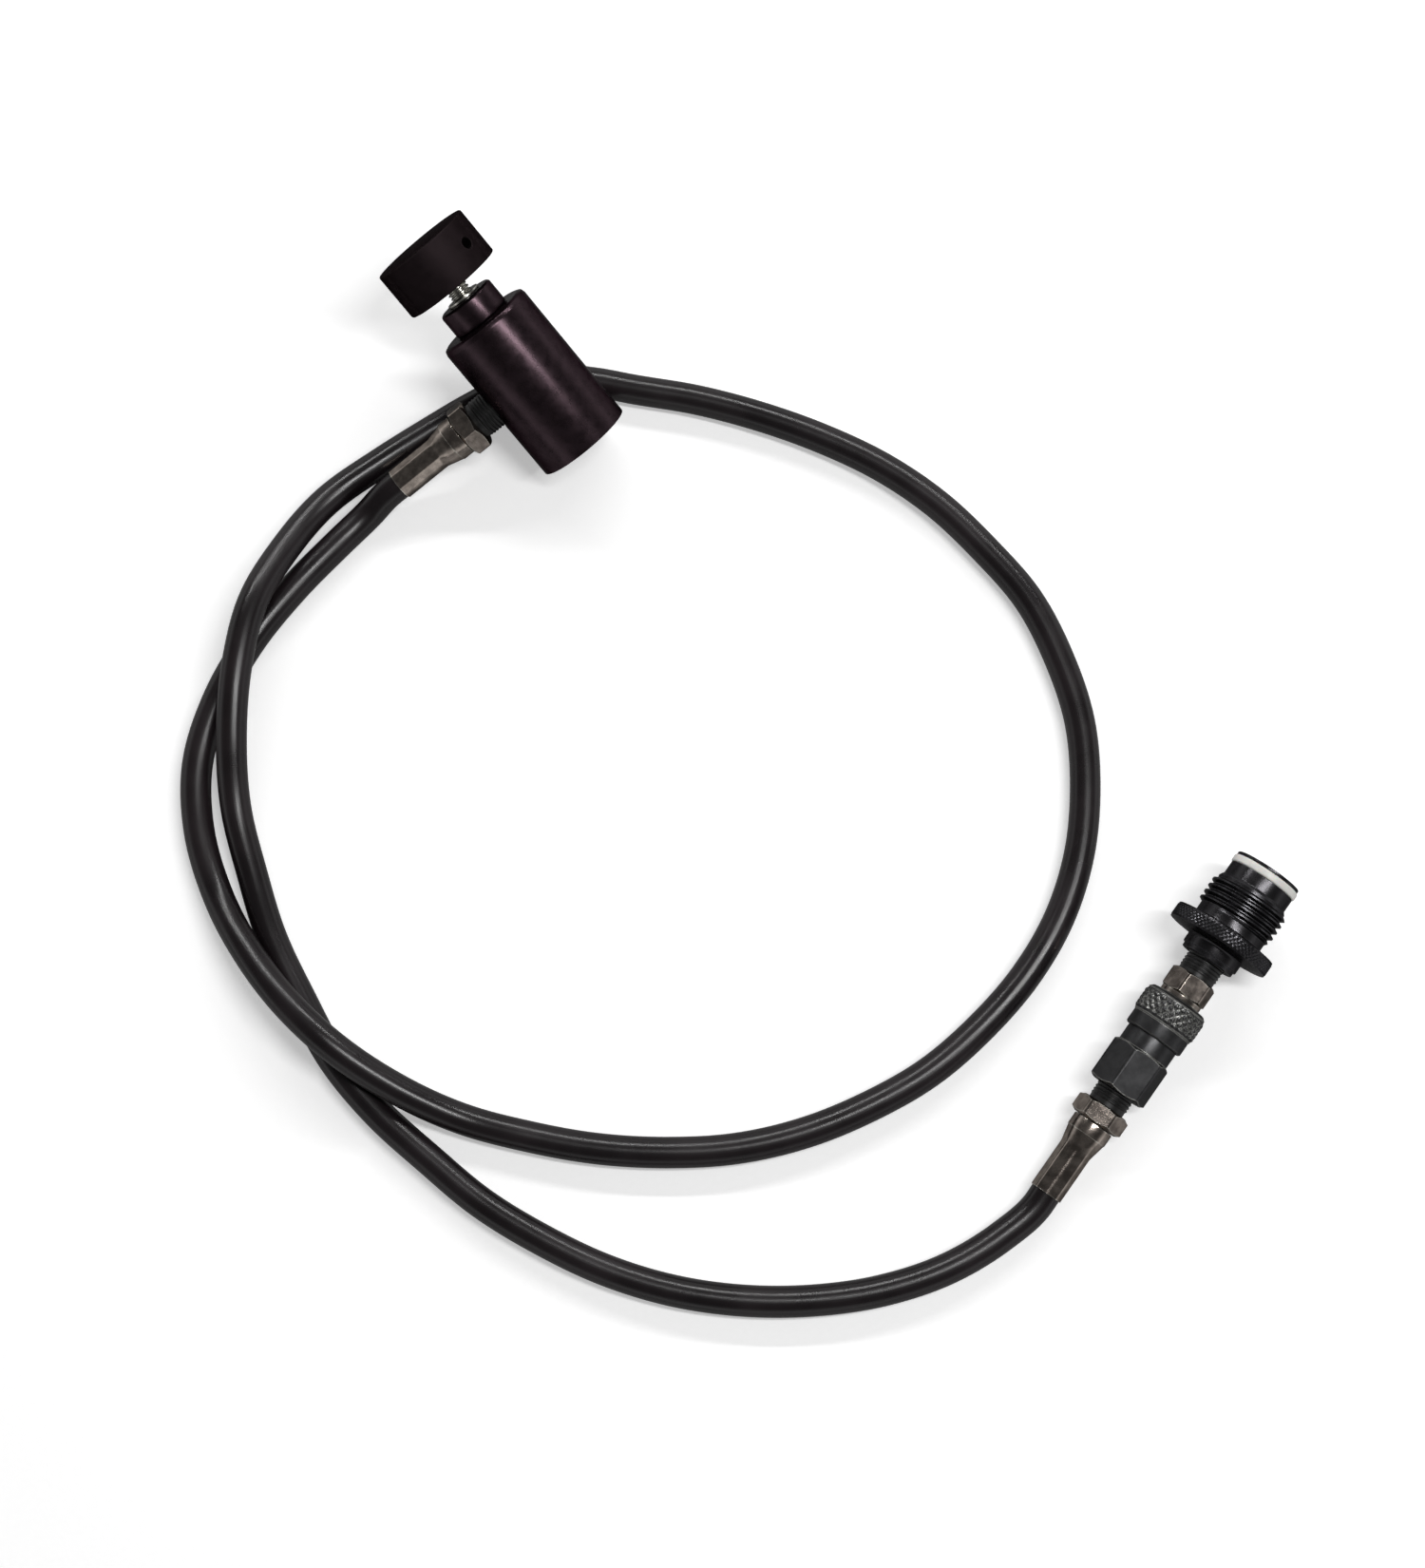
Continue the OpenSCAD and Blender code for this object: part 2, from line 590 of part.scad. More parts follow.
// ---- hose fittings, drawn from the hex's inner face -------------------------------------
module hose_fitting(thread_start, hex_turn) {
    difference() {
        union() {
            pipe_thread(thread_start, EPS);
            hex_bar(fitting_af, 0, fitting_hex_len, hex_turn);
            round_bar(barb_d, fitting_hex_len - EPS, fitting_hex_len + ferrule_len - 2, 0, SMALL_BEVEL);
        }
        bore(fitting_bore_d, thread_start - EPS, fitting_hex_len + ferrule_len);
    }
}

// A crimped ferrule: a plain collar, a taper, and flats pressed in up to the mouth
module ferrule() {
    start = fitting_hex_len + face_gap;
    collar_back = start + collar_len;
    mouth = start + ferrule_len;
    r = ferrule_d / 2;
    difference() {
        turned([
            [0, start], [r - SMALL_BEVEL, start], [r, start + SMALL_BEVEL],
            [r, collar_back - SMALL_BEVEL], [r - SMALL_BEVEL, collar_back],
            [crimp_d / 2, collar_back + crimp_taper_len],
            [crimp_d / 2, mouth], [0, mouth]
        ]);
        bore(barb_d + 2 * thread_fit, start - EPS, start + ferrule_wall + EPS);
        bore(squeezed_d + 2 * thread_fit, start + ferrule_wall, mouth + EPS);
        for (i = [0:crimp_flats - 1])
            rotate([0, 0, 360 * i / crimp_flats])
                translate([crimp_af / 2, -r, collar_back + crimp_taper_len - FLAT_LEAD])
                    cube([ferrule_d, ferrule_d, ferrule_len]);
    }
}

// The hose's end inside its ferrule, squeezed round the barb
module hose_end_piece() {
    start = fitting_hex_len + face_gap + ferrule_wall + face_gap;
    mouth = fitting_hex_len + face_gap + ferrule_len;
    difference() {
        round_bar(squeezed_d, start, mouth);
        bore(barb_d + 2 * thread_fit, start - EPS, mouth + EPS);
    }
}

module at_tank_fitting() { at_port() translate([0, 0, port_hex_x]) children(); }
module at_marker_fitting() { at_plug() translate([0, 0, hose_hex_z]) children(); }

module tank_hose_fitting() {
    color(DARK_STEEL) at_tank_fitting() hose_fitting(body_d / 2 - port_engaged - port_hex_x, TANK_HEX_TURN);
}
module tank_ferrule() { color(DARK_STEEL) at_tank_fitting() ferrule(); }
module tank_hose_end() { color(HOSE_BLACK) at_tank_fitting() hose_end_piece(); }
module marker_hose_fitting() {
    color(DARK_STEEL) at_marker_fitting() hose_fitting(-coupler_neck_len - coupler_engaged, MARKER_HEX_TURN);
}
module marker_ferrule() { color(DARK_STEEL) at_marker_fitting() ferrule(); }
module marker_hose_end() { color(HOSE_BLACK) at_marker_fitting() hose_end_piece(); }

module hose() { color(HOSE_BLACK) tube(hose_line, hose_d / 2, hose_sides); }

// ---- coupler --------------------------------------------------------------------------------
coupler_seal_cord_d = 1;
coupler_seal_mean_d = nose_socket_d + coupler_seal_cord_d - 2 * ring_fit;

module coupler_body() {
    color(BLACK_OXIDE) at_plug() difference() {
        union() {
            round_bar(barrel_d, coupler_z, neck_z + EPS, SMALL_BEVEL, 0);
            round_bar(neck_d, neck_z, coupler_hex_z + EPS, SMALL_BEVEL, 0);
            hex_bar(coupler_af, coupler_hex_z, coupler_back_z, COUPLER_HEX_TURN);
        }
        bore(plug_socket_d, coupler_z - EPS, nose_socket_z);
        bore(nose_socket_d, nose_socket_z - EPS, poppet_seat_z + EPS);
        ring_groove(coupler_seal_mean_d, coupler_seal_cord_d, coupler_seal_z);
        bore(poppet_bore_d, poppet_seat_z, fitting_front_z + EPS);
        bore(pipe_socket_d, fitting_front_z, coupler_back_z + EPS);
        difference() {
            bore(barrel_d + 1, snap_ring_z - ring_fit, snap_ring_z + snap_ring_len + ring_fit);
            bore(barrel_d - 0.8, snap_ring_z - 1, snap_ring_z + snap_ring_len + 1);
        }
        for (i = [0:ball_count - 1])
            rotate([0, 0, 360 * i / ball_count]) translate([0, 0, lock_z]) rotate([0, 90, 0])
                bore(ball_d + 2 * running_fit, plug_socket_d / 4, barrel_d);
    }
}

module coupler_sleeve() {
    grip_back_z = sleeve_z + grip_len;
    back_z = sleeve_z + sleeve_len;
    color(BLACK_OXIDE) at_plug() difference() {
        turned([
            [0, sleeve_z], [sleeve_d / 2 - sleeve_bevel, sleeve_z], [sleeve_d / 2, sleeve_z + sleeve_bevel],
            [sleeve_d / 2, grip_back_z - SMALL_BEVEL], [sleeve_d / 2 - SMALL_BEVEL, grip_back_z],
            [skirt_d / 2, grip_back_z], [skirt_d / 2, back_z - SMALL_BEVEL],
            [skirt_d / 2 - SMALL_BEVEL, back_z], [0, back_z]
        ]);
        bore(snap_ring_d + 2 * face_gap, sleeve_z - EPS, sleeve_step_z);
        bore(sleeve_bore_d, sleeve_step_z - EPS, sleeve_lip_z);
        bore(barrel_d + 2 * running_fit, sleeve_lip_z - EPS, sleeve_lip_z + sleeve_lip_len + EPS);
        bore(sleeve_bore_d, sleeve_lip_z + sleeve_lip_len, back_z + EPS);
    }
}

module sleeve_spring() {
    color(BRIGHT_STEEL) at_plug() spring((barrel_d + sleeve_bore_d) / 2, sleeve_wire_d,
        sleeve_lip_z + sleeve_lip_len + EPS, neck_z - EPS, sleeve_turns);
}

module sleeve_snap_ring() {
    color(BRIGHT_STEEL) at_plug() difference() {
        round_bar(snap_ring_d, snap_ring_z, snap_ring_z + snap_ring_len);
        bore(barrel_d - 0.8 + 2 * ring_fit, snap_ring_z - EPS, snap_ring_z + snap_ring_len + EPS);
    }
}

module lock_balls() {
    color(BRIGHT_STEEL) at_plug() for (i = [0:ball_count - 1])
        rotate([0, 0, 360 * i / ball_count]) translate([ball_ring_r, 0, lock_z])
            sphere(d = ball_d, $fn = SMALL_FN);
}

module coupler_seal() {
    color(RUBBER) at_plug() o_ring(coupler_seal_mean_d, coupler_seal_cord_d, coupler_seal_z);
}

poppet_d = poppet_bore_d - 0.6;
poppet_stem_d = 3.6;

module poppet() {
    color(BRIGHT_STEEL) at_plug() union() {
        round_bar(poppet_d, poppet_z + poppet_seal_len, poppet_back_z, SMALL_BEVEL, SMALL_BEVEL);
        round_bar(poppet_stem_d, plug_end_z + 0.1, poppet_z + poppet_seal_len + EPS, SMALL_BEVEL, 0);
        round_bar(poppet_stem_d, poppet_back_z - EPS, poppet_back_z + 1, 0, SMALL_BEVEL);
    }
}

module poppet_seal() {
    color(RUBBER) at_plug() difference() {
        round_bar(poppet_d - 0.2, poppet_z, poppet_z + poppet_seal_len);
        bore(poppet_stem_d + 2 * thread_fit, poppet_z - EPS, poppet_z + poppet_seal_len + EPS);
    }
}

module poppet_spring() {
    color(BRIGHT_STEEL) at_plug() spring(poppet_bore_d - poppet_wire_d - 1, poppet_wire_d,
        poppet_back_z + EPS, fitting_front_z - EPS, poppet_turns);
}

// ---- plug and adapter -----------------------------------------------------------------------
shank_d = plug_socket_d - 2 * running_fit;
plug_nose_d = nose_socket_d - 4 * running_fit;
plug_collar_d = shank_d + 2 * plug_collar_step;
plug_ring_mean_d = ring_in_bore(shank_d, ring_cord_d);

module plug_nipple() {
    shank_r = shank_d / 2;
    nose_r = plug_nose_d / 2;
    groove_r = shank_r - lock_groove_depth;
    floor_half = ball_d / 2 + 0.2 - lock_groove_depth / 2;
    mouth_half = floor_half + lock_groove_depth;
    color(BRIGHT_STEEL) at_plug() difference() {
        union() {
            pipe_thread(boss_back_z - plug_engaged, plug_hex_z + EPS);
            hex_bar(plug_af, plug_hex_z, collar_z, PLUG_HEX_TURN);
            round_bar(plug_collar_d, collar_z - EPS, shank_z, 0, SMALL_BEVEL);
            turned([
                [0, shank_z - EPS], [shank_r, shank_z - EPS],
                [shank_r, lock_z - mouth_half], [groove_r, lock_z - floor_half],
                [groove_r, lock_z + floor_half], [shank_r, lock_z + mouth_half],
                [shank_r, shank_back_z], [nose_r, nose_z],
                [nose_r, plug_end_z - SMALL_BEVEL], [nose_r - SMALL_BEVEL, plug_end_z], [0, plug_end_z]
            ]);
        }
        bore(plug_bore_d, boss_back_z - plug_engaged - EPS, plug_end_z + EPS);
        difference() {
            ring_cut(shank_d + 1, plug_ring_z, ring_cord_d / 2 + ring_fit);
            ring_cut(plug_ring_mean_d - ring_cord_d - 2 * ring_fit, plug_ring_z, ring_cord_d);
        }
    }
}

module plug_o_ring() {
    color(RUBBER) at_plug() o_ring(plug_ring_mean_d, ring_cord_d, plug_ring_z);
}

module adapter_body() {
    groove_d = nose_d - 2 * seal_groove_depth;
    seal_back_z = seal_ring_z + seal_ring_len;
    root_d = thread_d - 2 * thread_depth;
    step_z = boss_back_z - 1.2;
    color(ANODISED_BLACK) at_plug() difference() {
        union() {
            round_bar(nose_d, 0, seal_ring_z, SMALL_BEVEL, 0);
            round_bar(groove_d, 0, seal_back_z + EPS);
            round_bar(nose_d, seal_back_z, thread_z + EPS, 0, 0);
            threaded_bar(thread_d, thread_depth, thread_pitch, thread_z, thread_turns);
            bore(root_d, thread_z, flange_z + EPS);
            turned([[0, flange_z], [root_d / 2, flange_z], [flange_d / 2, flange_z + flange_slope],
                [flange_d / 2, flange_back_z - flange_slope], [boss_d / 2, flange_back_z], [0, flange_back_z]]);
            round_bar(boss_d, flange_back_z - EPS, step_z, 0, SMALL_BEVEL);
            round_bar(boss_d - 1, step_z - EPS, boss_back_z, 0, SMALL_BEVEL);
        }
        bore(adapter_bore_d, -EPS, boss_back_z);
        bore(pipe_socket_d, boss_back_z - plug_engaged - face_gap, boss_back_z + EPS);
    }
}

module adapter_seal_ring() {
    groove_d = nose_d - 2 * seal_groove_depth;
    z0 = seal_ring_z + ring_fit;
    z1 = seal_ring_z + seal_ring_len - ring_fit;
    round_by = (z1 - z0) * 0.3;
    color(URETHANE) at_plug() difference() {
        round_bar(seal_ring_d, z0, z1, round_by, round_by);
        bore(groove_d + 2 * ring_fit, z0 - EPS, z1 + EPS);
    }
}

valve_body();
bonnet();
bonnet_o_ring();
stem_washer();
stem();
stem_o_ring();
knob();
knob_grub_screw();
pin_pusher();
tank_hose_fitting();
tank_ferrule();
tank_hose_end();
hose();
marker_hose_end();
marker_ferrule();
marker_hose_fitting();
coupler_body();
coupler_sleeve();
sleeve_spring();
sleeve_snap_ring();
lock_balls();
coupler_seal();
poppet();
poppet_seal();
poppet_spring();
plug_nipple();
plug_o_ring();
adapter_body();
adapter_seal_ring();
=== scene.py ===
"""Looks of a high-pressure remote air line: bottle valve, hose, quick-release coupler and adapter.

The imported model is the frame. Every turned, threaded, knurled or hexagonal piece is one surface,
worked out as whole arrays in its own end's frame and then placed in the row frame. Each end's frame
has z along its axis, as the part's own source has it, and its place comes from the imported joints.
Lengths are millimetres, and become metres where a mesh is made.
"""

import json
import math

import bmesh
import bpy
import numpy as np
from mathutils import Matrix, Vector

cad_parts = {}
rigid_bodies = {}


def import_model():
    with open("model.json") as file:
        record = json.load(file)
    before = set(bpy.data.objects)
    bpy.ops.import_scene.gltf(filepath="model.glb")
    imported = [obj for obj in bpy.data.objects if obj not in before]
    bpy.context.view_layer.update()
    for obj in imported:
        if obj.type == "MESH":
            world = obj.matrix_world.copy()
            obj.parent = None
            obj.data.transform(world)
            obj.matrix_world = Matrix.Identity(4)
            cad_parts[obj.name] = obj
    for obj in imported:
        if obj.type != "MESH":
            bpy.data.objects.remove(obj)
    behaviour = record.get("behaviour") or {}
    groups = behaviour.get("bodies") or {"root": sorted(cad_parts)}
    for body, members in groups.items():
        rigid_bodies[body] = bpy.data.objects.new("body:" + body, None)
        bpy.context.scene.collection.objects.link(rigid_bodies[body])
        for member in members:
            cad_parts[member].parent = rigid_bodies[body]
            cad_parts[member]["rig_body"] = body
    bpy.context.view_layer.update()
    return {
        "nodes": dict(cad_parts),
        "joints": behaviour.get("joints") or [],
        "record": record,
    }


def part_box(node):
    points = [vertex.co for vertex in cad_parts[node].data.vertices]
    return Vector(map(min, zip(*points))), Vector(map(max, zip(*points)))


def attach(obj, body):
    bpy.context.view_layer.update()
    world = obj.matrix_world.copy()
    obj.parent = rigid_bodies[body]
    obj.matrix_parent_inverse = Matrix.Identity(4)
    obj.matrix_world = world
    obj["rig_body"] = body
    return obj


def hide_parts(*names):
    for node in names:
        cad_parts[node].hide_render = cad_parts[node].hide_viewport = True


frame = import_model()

bl_info = {
    "name": "High-pressure remote air line",
    "version": (1, 0, 0),
    "blender": (4, 5, 0),
    "location": "View3D > Sidebar > Air Line",
    "description": "Valve, hose, coupler and adapter of a remote air line, with their finishes",
    "category": "Add Mesh",
}

MM = 0.001
TURN = 2 * math.pi
SEGMENTS = 96            # columns round a plain turned piece
HEX_SEGMENTS = 192       # columns round a piece with a hex, so that its turned edges are round
SHARP = math.radians(28)  # edges steeper than this stay crisp
WELD = 2e-6              # vertices nearer than this, in metres, are one
HEX_ROUND = 0.975        # share of a hex's corner radius to which its edges are turned
HEX_SLOPE = 30           # degrees by which a hex's corner cones rise
THREAD_FADE = 0.6        # share of a pitch over which a thread fades out
CLEARANCE = 0.05         # radial gap of a screwed joint
KNURL_TOP = 0.3          # share of a diamond that stays flat
KNURL_FADE = 0.35        # share of the spacing over which a knurl fades out
EDGE_REACH = 0.4         # how far the paler edge colour, partly a painted highlight, reaches from an edge
EDGE_LEAN = (0.005, 0.035)  # how far a bevelled normal's cosine is below 1 where the paler edge colour (painted highlight and wearing) starts, and is full
CLOUDS = (0.3, 0.7)      # the range of a cloud noise that tones and roughness follow
UNEVEN = 0.12            # share by which a metal's roughness varies with the clouds


# ---- the two ends' frames ----

def unit(v):
    """A vector or row of vectors at length 1."""
    v = np.asarray(v, float)
    return v / np.linalg.norm(v, axis=-1, keepdims=True)


def named(rows, name, key="name"):
    """The row of a packed list that has a name."""
    return next(row for row in rows if row[key] == name)


def joint_line(name):
    """A packed joint's pivot, in millimetres, and the direction against its axis."""
    packed = named(frame["joints"], name)
    return np.array(packed["pos_m"]) / MM, -unit(packed["axis"])


def node_points(node):
    """The vertices of a CAD node, in millimetres."""
    mesh = frame["nodes"][node].data
    co = np.zeros(len(mesh.vertices) * 3, np.float32)
    mesh.vertices.foreach_get("co", co)
    return co.reshape(-1, 3) / MM


class End:
    """A frame of its own: an origin, and the x, y and z axes as the rows of a matrix."""

    def __init__(self, origin, x, z):
        self.origin = np.asarray(origin, float)
        self.axes = np.array([x, np.cross(z, x), z])

    def local(self, points):
        """Row frame to this frame."""
        return (points - self.origin) @ self.axes.T

    def world(self, points):
        """This frame to the row frame."""
        return points @ self.axes + self.origin

    def on_axis(self, height):
        """The point of the z axis at a height, in the row frame."""
        return self.origin + height * self.axes[2]

    def heights_and_radii(self, node):
        """Height of each of a node's points, and its distance from the z axis."""
        at = self.local(node_points(node))
        return at[:, 2], np.hypot(at[:, 0], at[:, 1])

    def span(self, node, wider_than=0.0):
        """Lowest and highest height of a node's points that lie further out than a radius, and the
        node's largest radius."""
        z, r = self.heights_and_radii(node)
        z = z[r > wider_than]
        return z.min(), z.max(), r.max()

    def radii(self, node, low, high):
        """Smallest and largest radius of a node's points between two heights."""
        z, r = self.heights_and_radii(node)
        r = r[(z >= low) & (z <= high)]
        return r.min(), r.max()


def end_from(pivot, z, first_node, across):
    """The frame along a joint's line, whose height 0 is the first node's lowest point.
    across gives the direction of x, less its part along the line."""
    heights = (node_points(first_node) - pivot) @ z
    x = unit(across - (across @ z) * z)
    return End(pivot + heights.min() * z, x, z)


def centre_of(node):
    """Mean of a node's lowest and highest corner."""
    low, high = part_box(node)
    return np.array(low + high) / 2 / MM


VALVE_PIVOT, VALVE_Z = joint_line("knob_turn")
VALVE = end_from(VALVE_PIVOT, VALVE_Z, "valve_body", centre_of("tank_ferrule") - VALVE_PIVOT)
PLUG_PIVOT, PLUG_Z = joint_line("plug_swivel")
PLUG = end_from(PLUG_PIVOT, PLUG_Z, "adapter_body", np.cross((0, 0, 1), PLUG_Z))
PORT = End(VALVE.on_axis(sum(VALVE.span("tank_ferrule")[:2]) / 2), -VALVE.axes[2], VALVE.axes[0])


# ---- colours and sizes that a user would change ----

def linear(code):
    """The linear colour of an sRGB hex code."""
    srgb = np.array([int(code[i:i + 2], 16) for i in (1, 3, 5)]) / 255
    low, high = srgb / 12.92, ((srgb + 0.055) / 1.055) ** 2.4
    return tuple(float(c) for c in np.where(srgb <= 0.04045, low, high))


def colour(name, code, description):
    """A colour property whose default is an sRGB hex code."""
    return bpy.props.FloatVectorProperty(
        name=name, description=description, default=linear(code), subtype="COLOR", size=3, min=0, max=1)


def size(name, default, description):
    """A length property, in millimetres."""
    description += ", in millimetres"
    return bpy.props.FloatProperty(name=name, description=description, default=default, min=0)


class AirLineFinishes(bpy.types.PropertyGroup):
    """Colours of the line's finishes."""
    plum: colour("Plum anodising", "#41353a", "Dyed oxide on the valve's body and bonnet")
    black_dye: colour("Black anodising", "#3d3c3e", "Dyed oxide on the adapter")
    blasted_dye: colour("Blasted black", "#2a2325", "Dyed oxide on the blasted knob")
    black_oxide: colour("Black oxide", "#454546", "Blackened steel of the coupler")
    dark_plate: colour("Dark plating", "#a0968e", "Dull nickel on the hose fittings and plug")
    bright_steel: colour("Bright steel", "#c9c7c0", "Bare turned steel")
    cover: colour("Hose cover", "#181315", "Extruded black cover of the hose")
    urethane: colour("Urethane", "#e9e8e2", "Off-white seal ring")
    nitrile: colour("Nitrile", "#151515", "Black O-rings")


class AirLineSizes(bpy.types.PropertyGroup):
    """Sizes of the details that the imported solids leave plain."""
    bottle_pitch: size("Bottle thread pitch", 1.814, "Pitch of the 0.825-14 thread")
    bottle_depth: size("Bottle thread depth", 1.0, "Depth of the 0.825-14 thread")
    pipe_pitch: size("Pipe thread pitch", 0.94, "Pitch of the 1/8-27 pipe thread")
    pipe_depth: size("Pipe thread depth", 0.25, "Depth of the pipe thread")
    stem_pitch: size("Stem pitch", 1.0, "Pitch of the stem's thread")
    edge: size("Edge break", 0.25, "Radius of the broken edges")
    sleeve_knurl: size("Sleeve knurl", 2.2, "Spacing of the diamonds round the coupler's sleeve")
    flange_knurl: size("Flange knurl", 1.3, "Spacing of the diamonds round the adapter's flange")
    knurl_depth: size("Knurl depth", 0.45, "Depth of the sleeve's knurl")
    braid: size("Braid spacing", 1.1, "Spacing of the braid that shows through the hose's cover")


def finishes():
    """The scene's finish colours."""
    return bpy.context.scene.air_line_finishes


def sizes():
    """The scene's detail sizes."""
    return bpy.context.scene.air_line_sizes


# ---- surfaces ----

def around(columns=SEGMENTS):
    """Angles from 0 to a full turn, both ends included, so that the seam can be welded."""
    return np.linspace(0, TURN, columns + 1)


def rows_of(block, angles):
    """Rows of a turned surface: [radius, height] points repeated at every angle, or rows as they are."""
    block = np.asarray(block, float)
    return block if block.ndim == 3 else np.repeat(block[:, None], len(angles), axis=1)


def softened(points, radius, steps=3):
    """A turned outline with its inner corners rounded. Each corner becomes a quadratic arc between
    the points at a distance of radius before and after it, or at 45% of a shorter side."""
    p = np.asarray(points, float)
    before, corner, after = p[:-2], p[1:-1], p[2:]
    to_before, to_after = before - corner, after - corner
    len_before = np.linalg.norm(to_before, axis=1, keepdims=True)
    len_after = np.linalg.norm(to_after, axis=1, keepdims=True)
    cut = np.minimum(radius, 0.45 * np.minimum(len_before, len_after))
    start = corner + to_before / len_before * cut
    stop = corner + to_after / len_after * cut
    t = np.linspace(0, 1, steps + 1)[None, :, None]
    arcs = start[:, None] * (1 - t) ** 2 + corner[:, None] * 2 * t * (1 - t) + stop[:, None] * t ** 2
    return np.concatenate([p[:1], arcs.reshape(-1, 2), p[-1:]])


def hexagon(across_flats, angles, turn, sides=6):
    """Radius of a regular polygon's outline at each angle: half its width across the flats over the
    cosine of the angle from the middle of the nearest flat. turn is the angle of one corner."""
    step = TURN / sides
    from_flat = (angles - math.radians(turn)) % step - step / 2
    return across_flats / 2 / np.cos(from_flat)


def hex_rows(corner_r, low, high, angles, turn, face_share):
    """Rows of a hex bar from its corner radius. Its six edges are turned to a circle just inside the
    corners. The end faces are circles of a share of the flats' width, from which each corner's cone
    rises."""
    flat_r = corner_r * math.cos(math.pi / 6)
    r = np.minimum(hexagon(2 * flat_r, angles, turn), corner_r * HEX_ROUND)
    face = np.minimum(r, flat_r * face_share)
    rise = (r - face) * math.tan(math.radians(HEX_SLOPE))
    return np.stack([
        np.stack([face, np.full_like(r, low)], -1),
        np.stack([r, low + rise], -1),
        np.stack([r, high - rise], -1),
        np.stack([face, np.full_like(r, high)], -1),
    ])


def fade(height, low, high, over):
    """0 at both ends of a span of heights, and 1 from a length inside them."""
    return np.clip(np.minimum(height - low, high - height) / over, 0, 1)


def thread_rows(crest, depth, pitch, low, high, angles):
    """Rows of a right-hand screw thread. Each row follows the helix, so that its height grows by one
    pitch in a turn. The outline over one pitch is root, crest, crest, root, and the depth fades out
    at both ends. Heights past the ends are held there. A negative depth makes an inner thread, whose
    crest is its small radius."""
    shares = np.array([0.06, 0.40, 0.60, 0.94])     # where root, crest, crest and root lie in a pitch
    turns = np.arange(math.floor((low - high) / pitch) - 1, math.ceil((high - low) / pitch) + 2)
    phases = np.sort((turns[:, None] + shares[None]).ravel())
    share = angles / TURN
    height = low + (phases[:, None] + share[None]) * pitch
    keep = (height.max(1) > low) & (height.min(1) < high)
    height = np.clip(height[keep], low, high)
    phase = ((height - low) / pitch - share[None]) % 1
    ridge = np.interp(phase, [0, *shares, 1], [0, 0, 1, 1, 0, 0])
    ridge *= fade(height, low, high, THREAD_FADE * pitch)
    return np.stack([crest - depth + depth * ridge, height], -1)


def knurl_rows(radius, depth, spacing, low, high, angles, count, steps=4):
    """Rows of a diamond knurl: two sets of V grooves that run up the surface at opposite slopes. The
    radius is lowered by the deeper groove of the two. Each diamond keeps a flat top, and the knurl
    fades out at both ends. count is the number of diamonds round, and steps the rows in each."""
    rows = max(2, round((high - low) / spacing)) * steps
    height = np.linspace(low, high, rows + 1)[:, None]
    up = (height - low) / spacing
    round_by = angles[None] / TURN * count
    groove = lambda x: np.abs(2 * (x % 1) - 1)
    deepest = np.maximum(groove(round_by + up), groove(round_by - up))
    deepest = np.clip((deepest - KNURL_TOP) / (1 - KNURL_TOP), 0, 1)
    lead = fade(height, low, high, KNURL_FADE * spacing)
    r = radius - depth * np.where(lead < 1, 1 - (1 - deepest) * lead, deepest)
    return np.stack([r, np.broadcast_to(height, r.shape)], -1)


def new_piece(name, vertices, faces, uv=None):
    """A linked mesh object from arrays in millimetres, welded, with its normals as the faces wind."""
    mesh = bpy.data.meshes.new(name)
    mesh.from_pydata((vertices * MM).tolist(), [], faces.tolist())
    if uv is not None:
        layer = mesh.uv_layers.new(name="surface_mm")
        layer.data.foreach_set("uv", uv[faces.ravel()].astype(np.float32).ravel())
    shell = bmesh.new()
    shell.from_mesh(mesh)
    bmesh.ops.remove_doubles(shell, verts=shell.verts, dist=WELD)
    bmesh.ops.dissolve_degenerate(shell, edges=shell.edges, dist=WELD)
    shell.to_mesh(mesh)
    shell.free()
    mesh.shade_smooth()
    mesh.set_sharp_from_angle(angle=SHARP)
    piece = bpy.data.objects.new(name, mesh)
    bpy.context.scene.collection.objects.link(piece)
    return piece


def grid_faces(rows, columns):
    """Quads of a grid of points, wound so that a surface whose rows rise faces outwards."""
    first = (np.arange(rows - 1)[:, None] * columns + np.arange(columns - 1)[None]).ravel()
    return np.stack([first, first + 1, first + columns + 1, first + columns], -1)


def run_along(points):
    """Length from the first point of a line to each."""
    return np.concatenate([[0], np.cumsum(np.linalg.norm(np.diff(points, axis=0), axis=1))])


def map_mm(angles, radius, along):
    """The piece's own map: millimetres round it, in a whole number for the seam, and along it."""
    return np.stack(np.broadcast_arrays(angles[None] / TURN * round(TURN * radius), along[:, None]), -1)


def turned_piece(name, end, blocks, angles):
    """A piece from blocks of rows or outlines, with a radius and a height at every angle: x is the
    radius times the angle's cosine and y times its sine."""
    rows = np.concatenate([rows_of(block, angles) for block in blocks])
    r, z = rows[..., 0], rows[..., 1]
    local = np.stack([r * np.cos(angles), r * np.sin(angles), z], -1)
    uv = map_mm(angles, r.max(), run_along(rows.mean(1)))
    return new_piece(name, end.world(local.reshape(-1, 3)), grid_faces(*r.shape), uv.reshape(-1, 2))


def spun(name, end, outline, angles):
    """A solid of revolution from one outline, which starts and ends on the axis or at one point."""
    return turned_piece(name, end, [outline], angles)


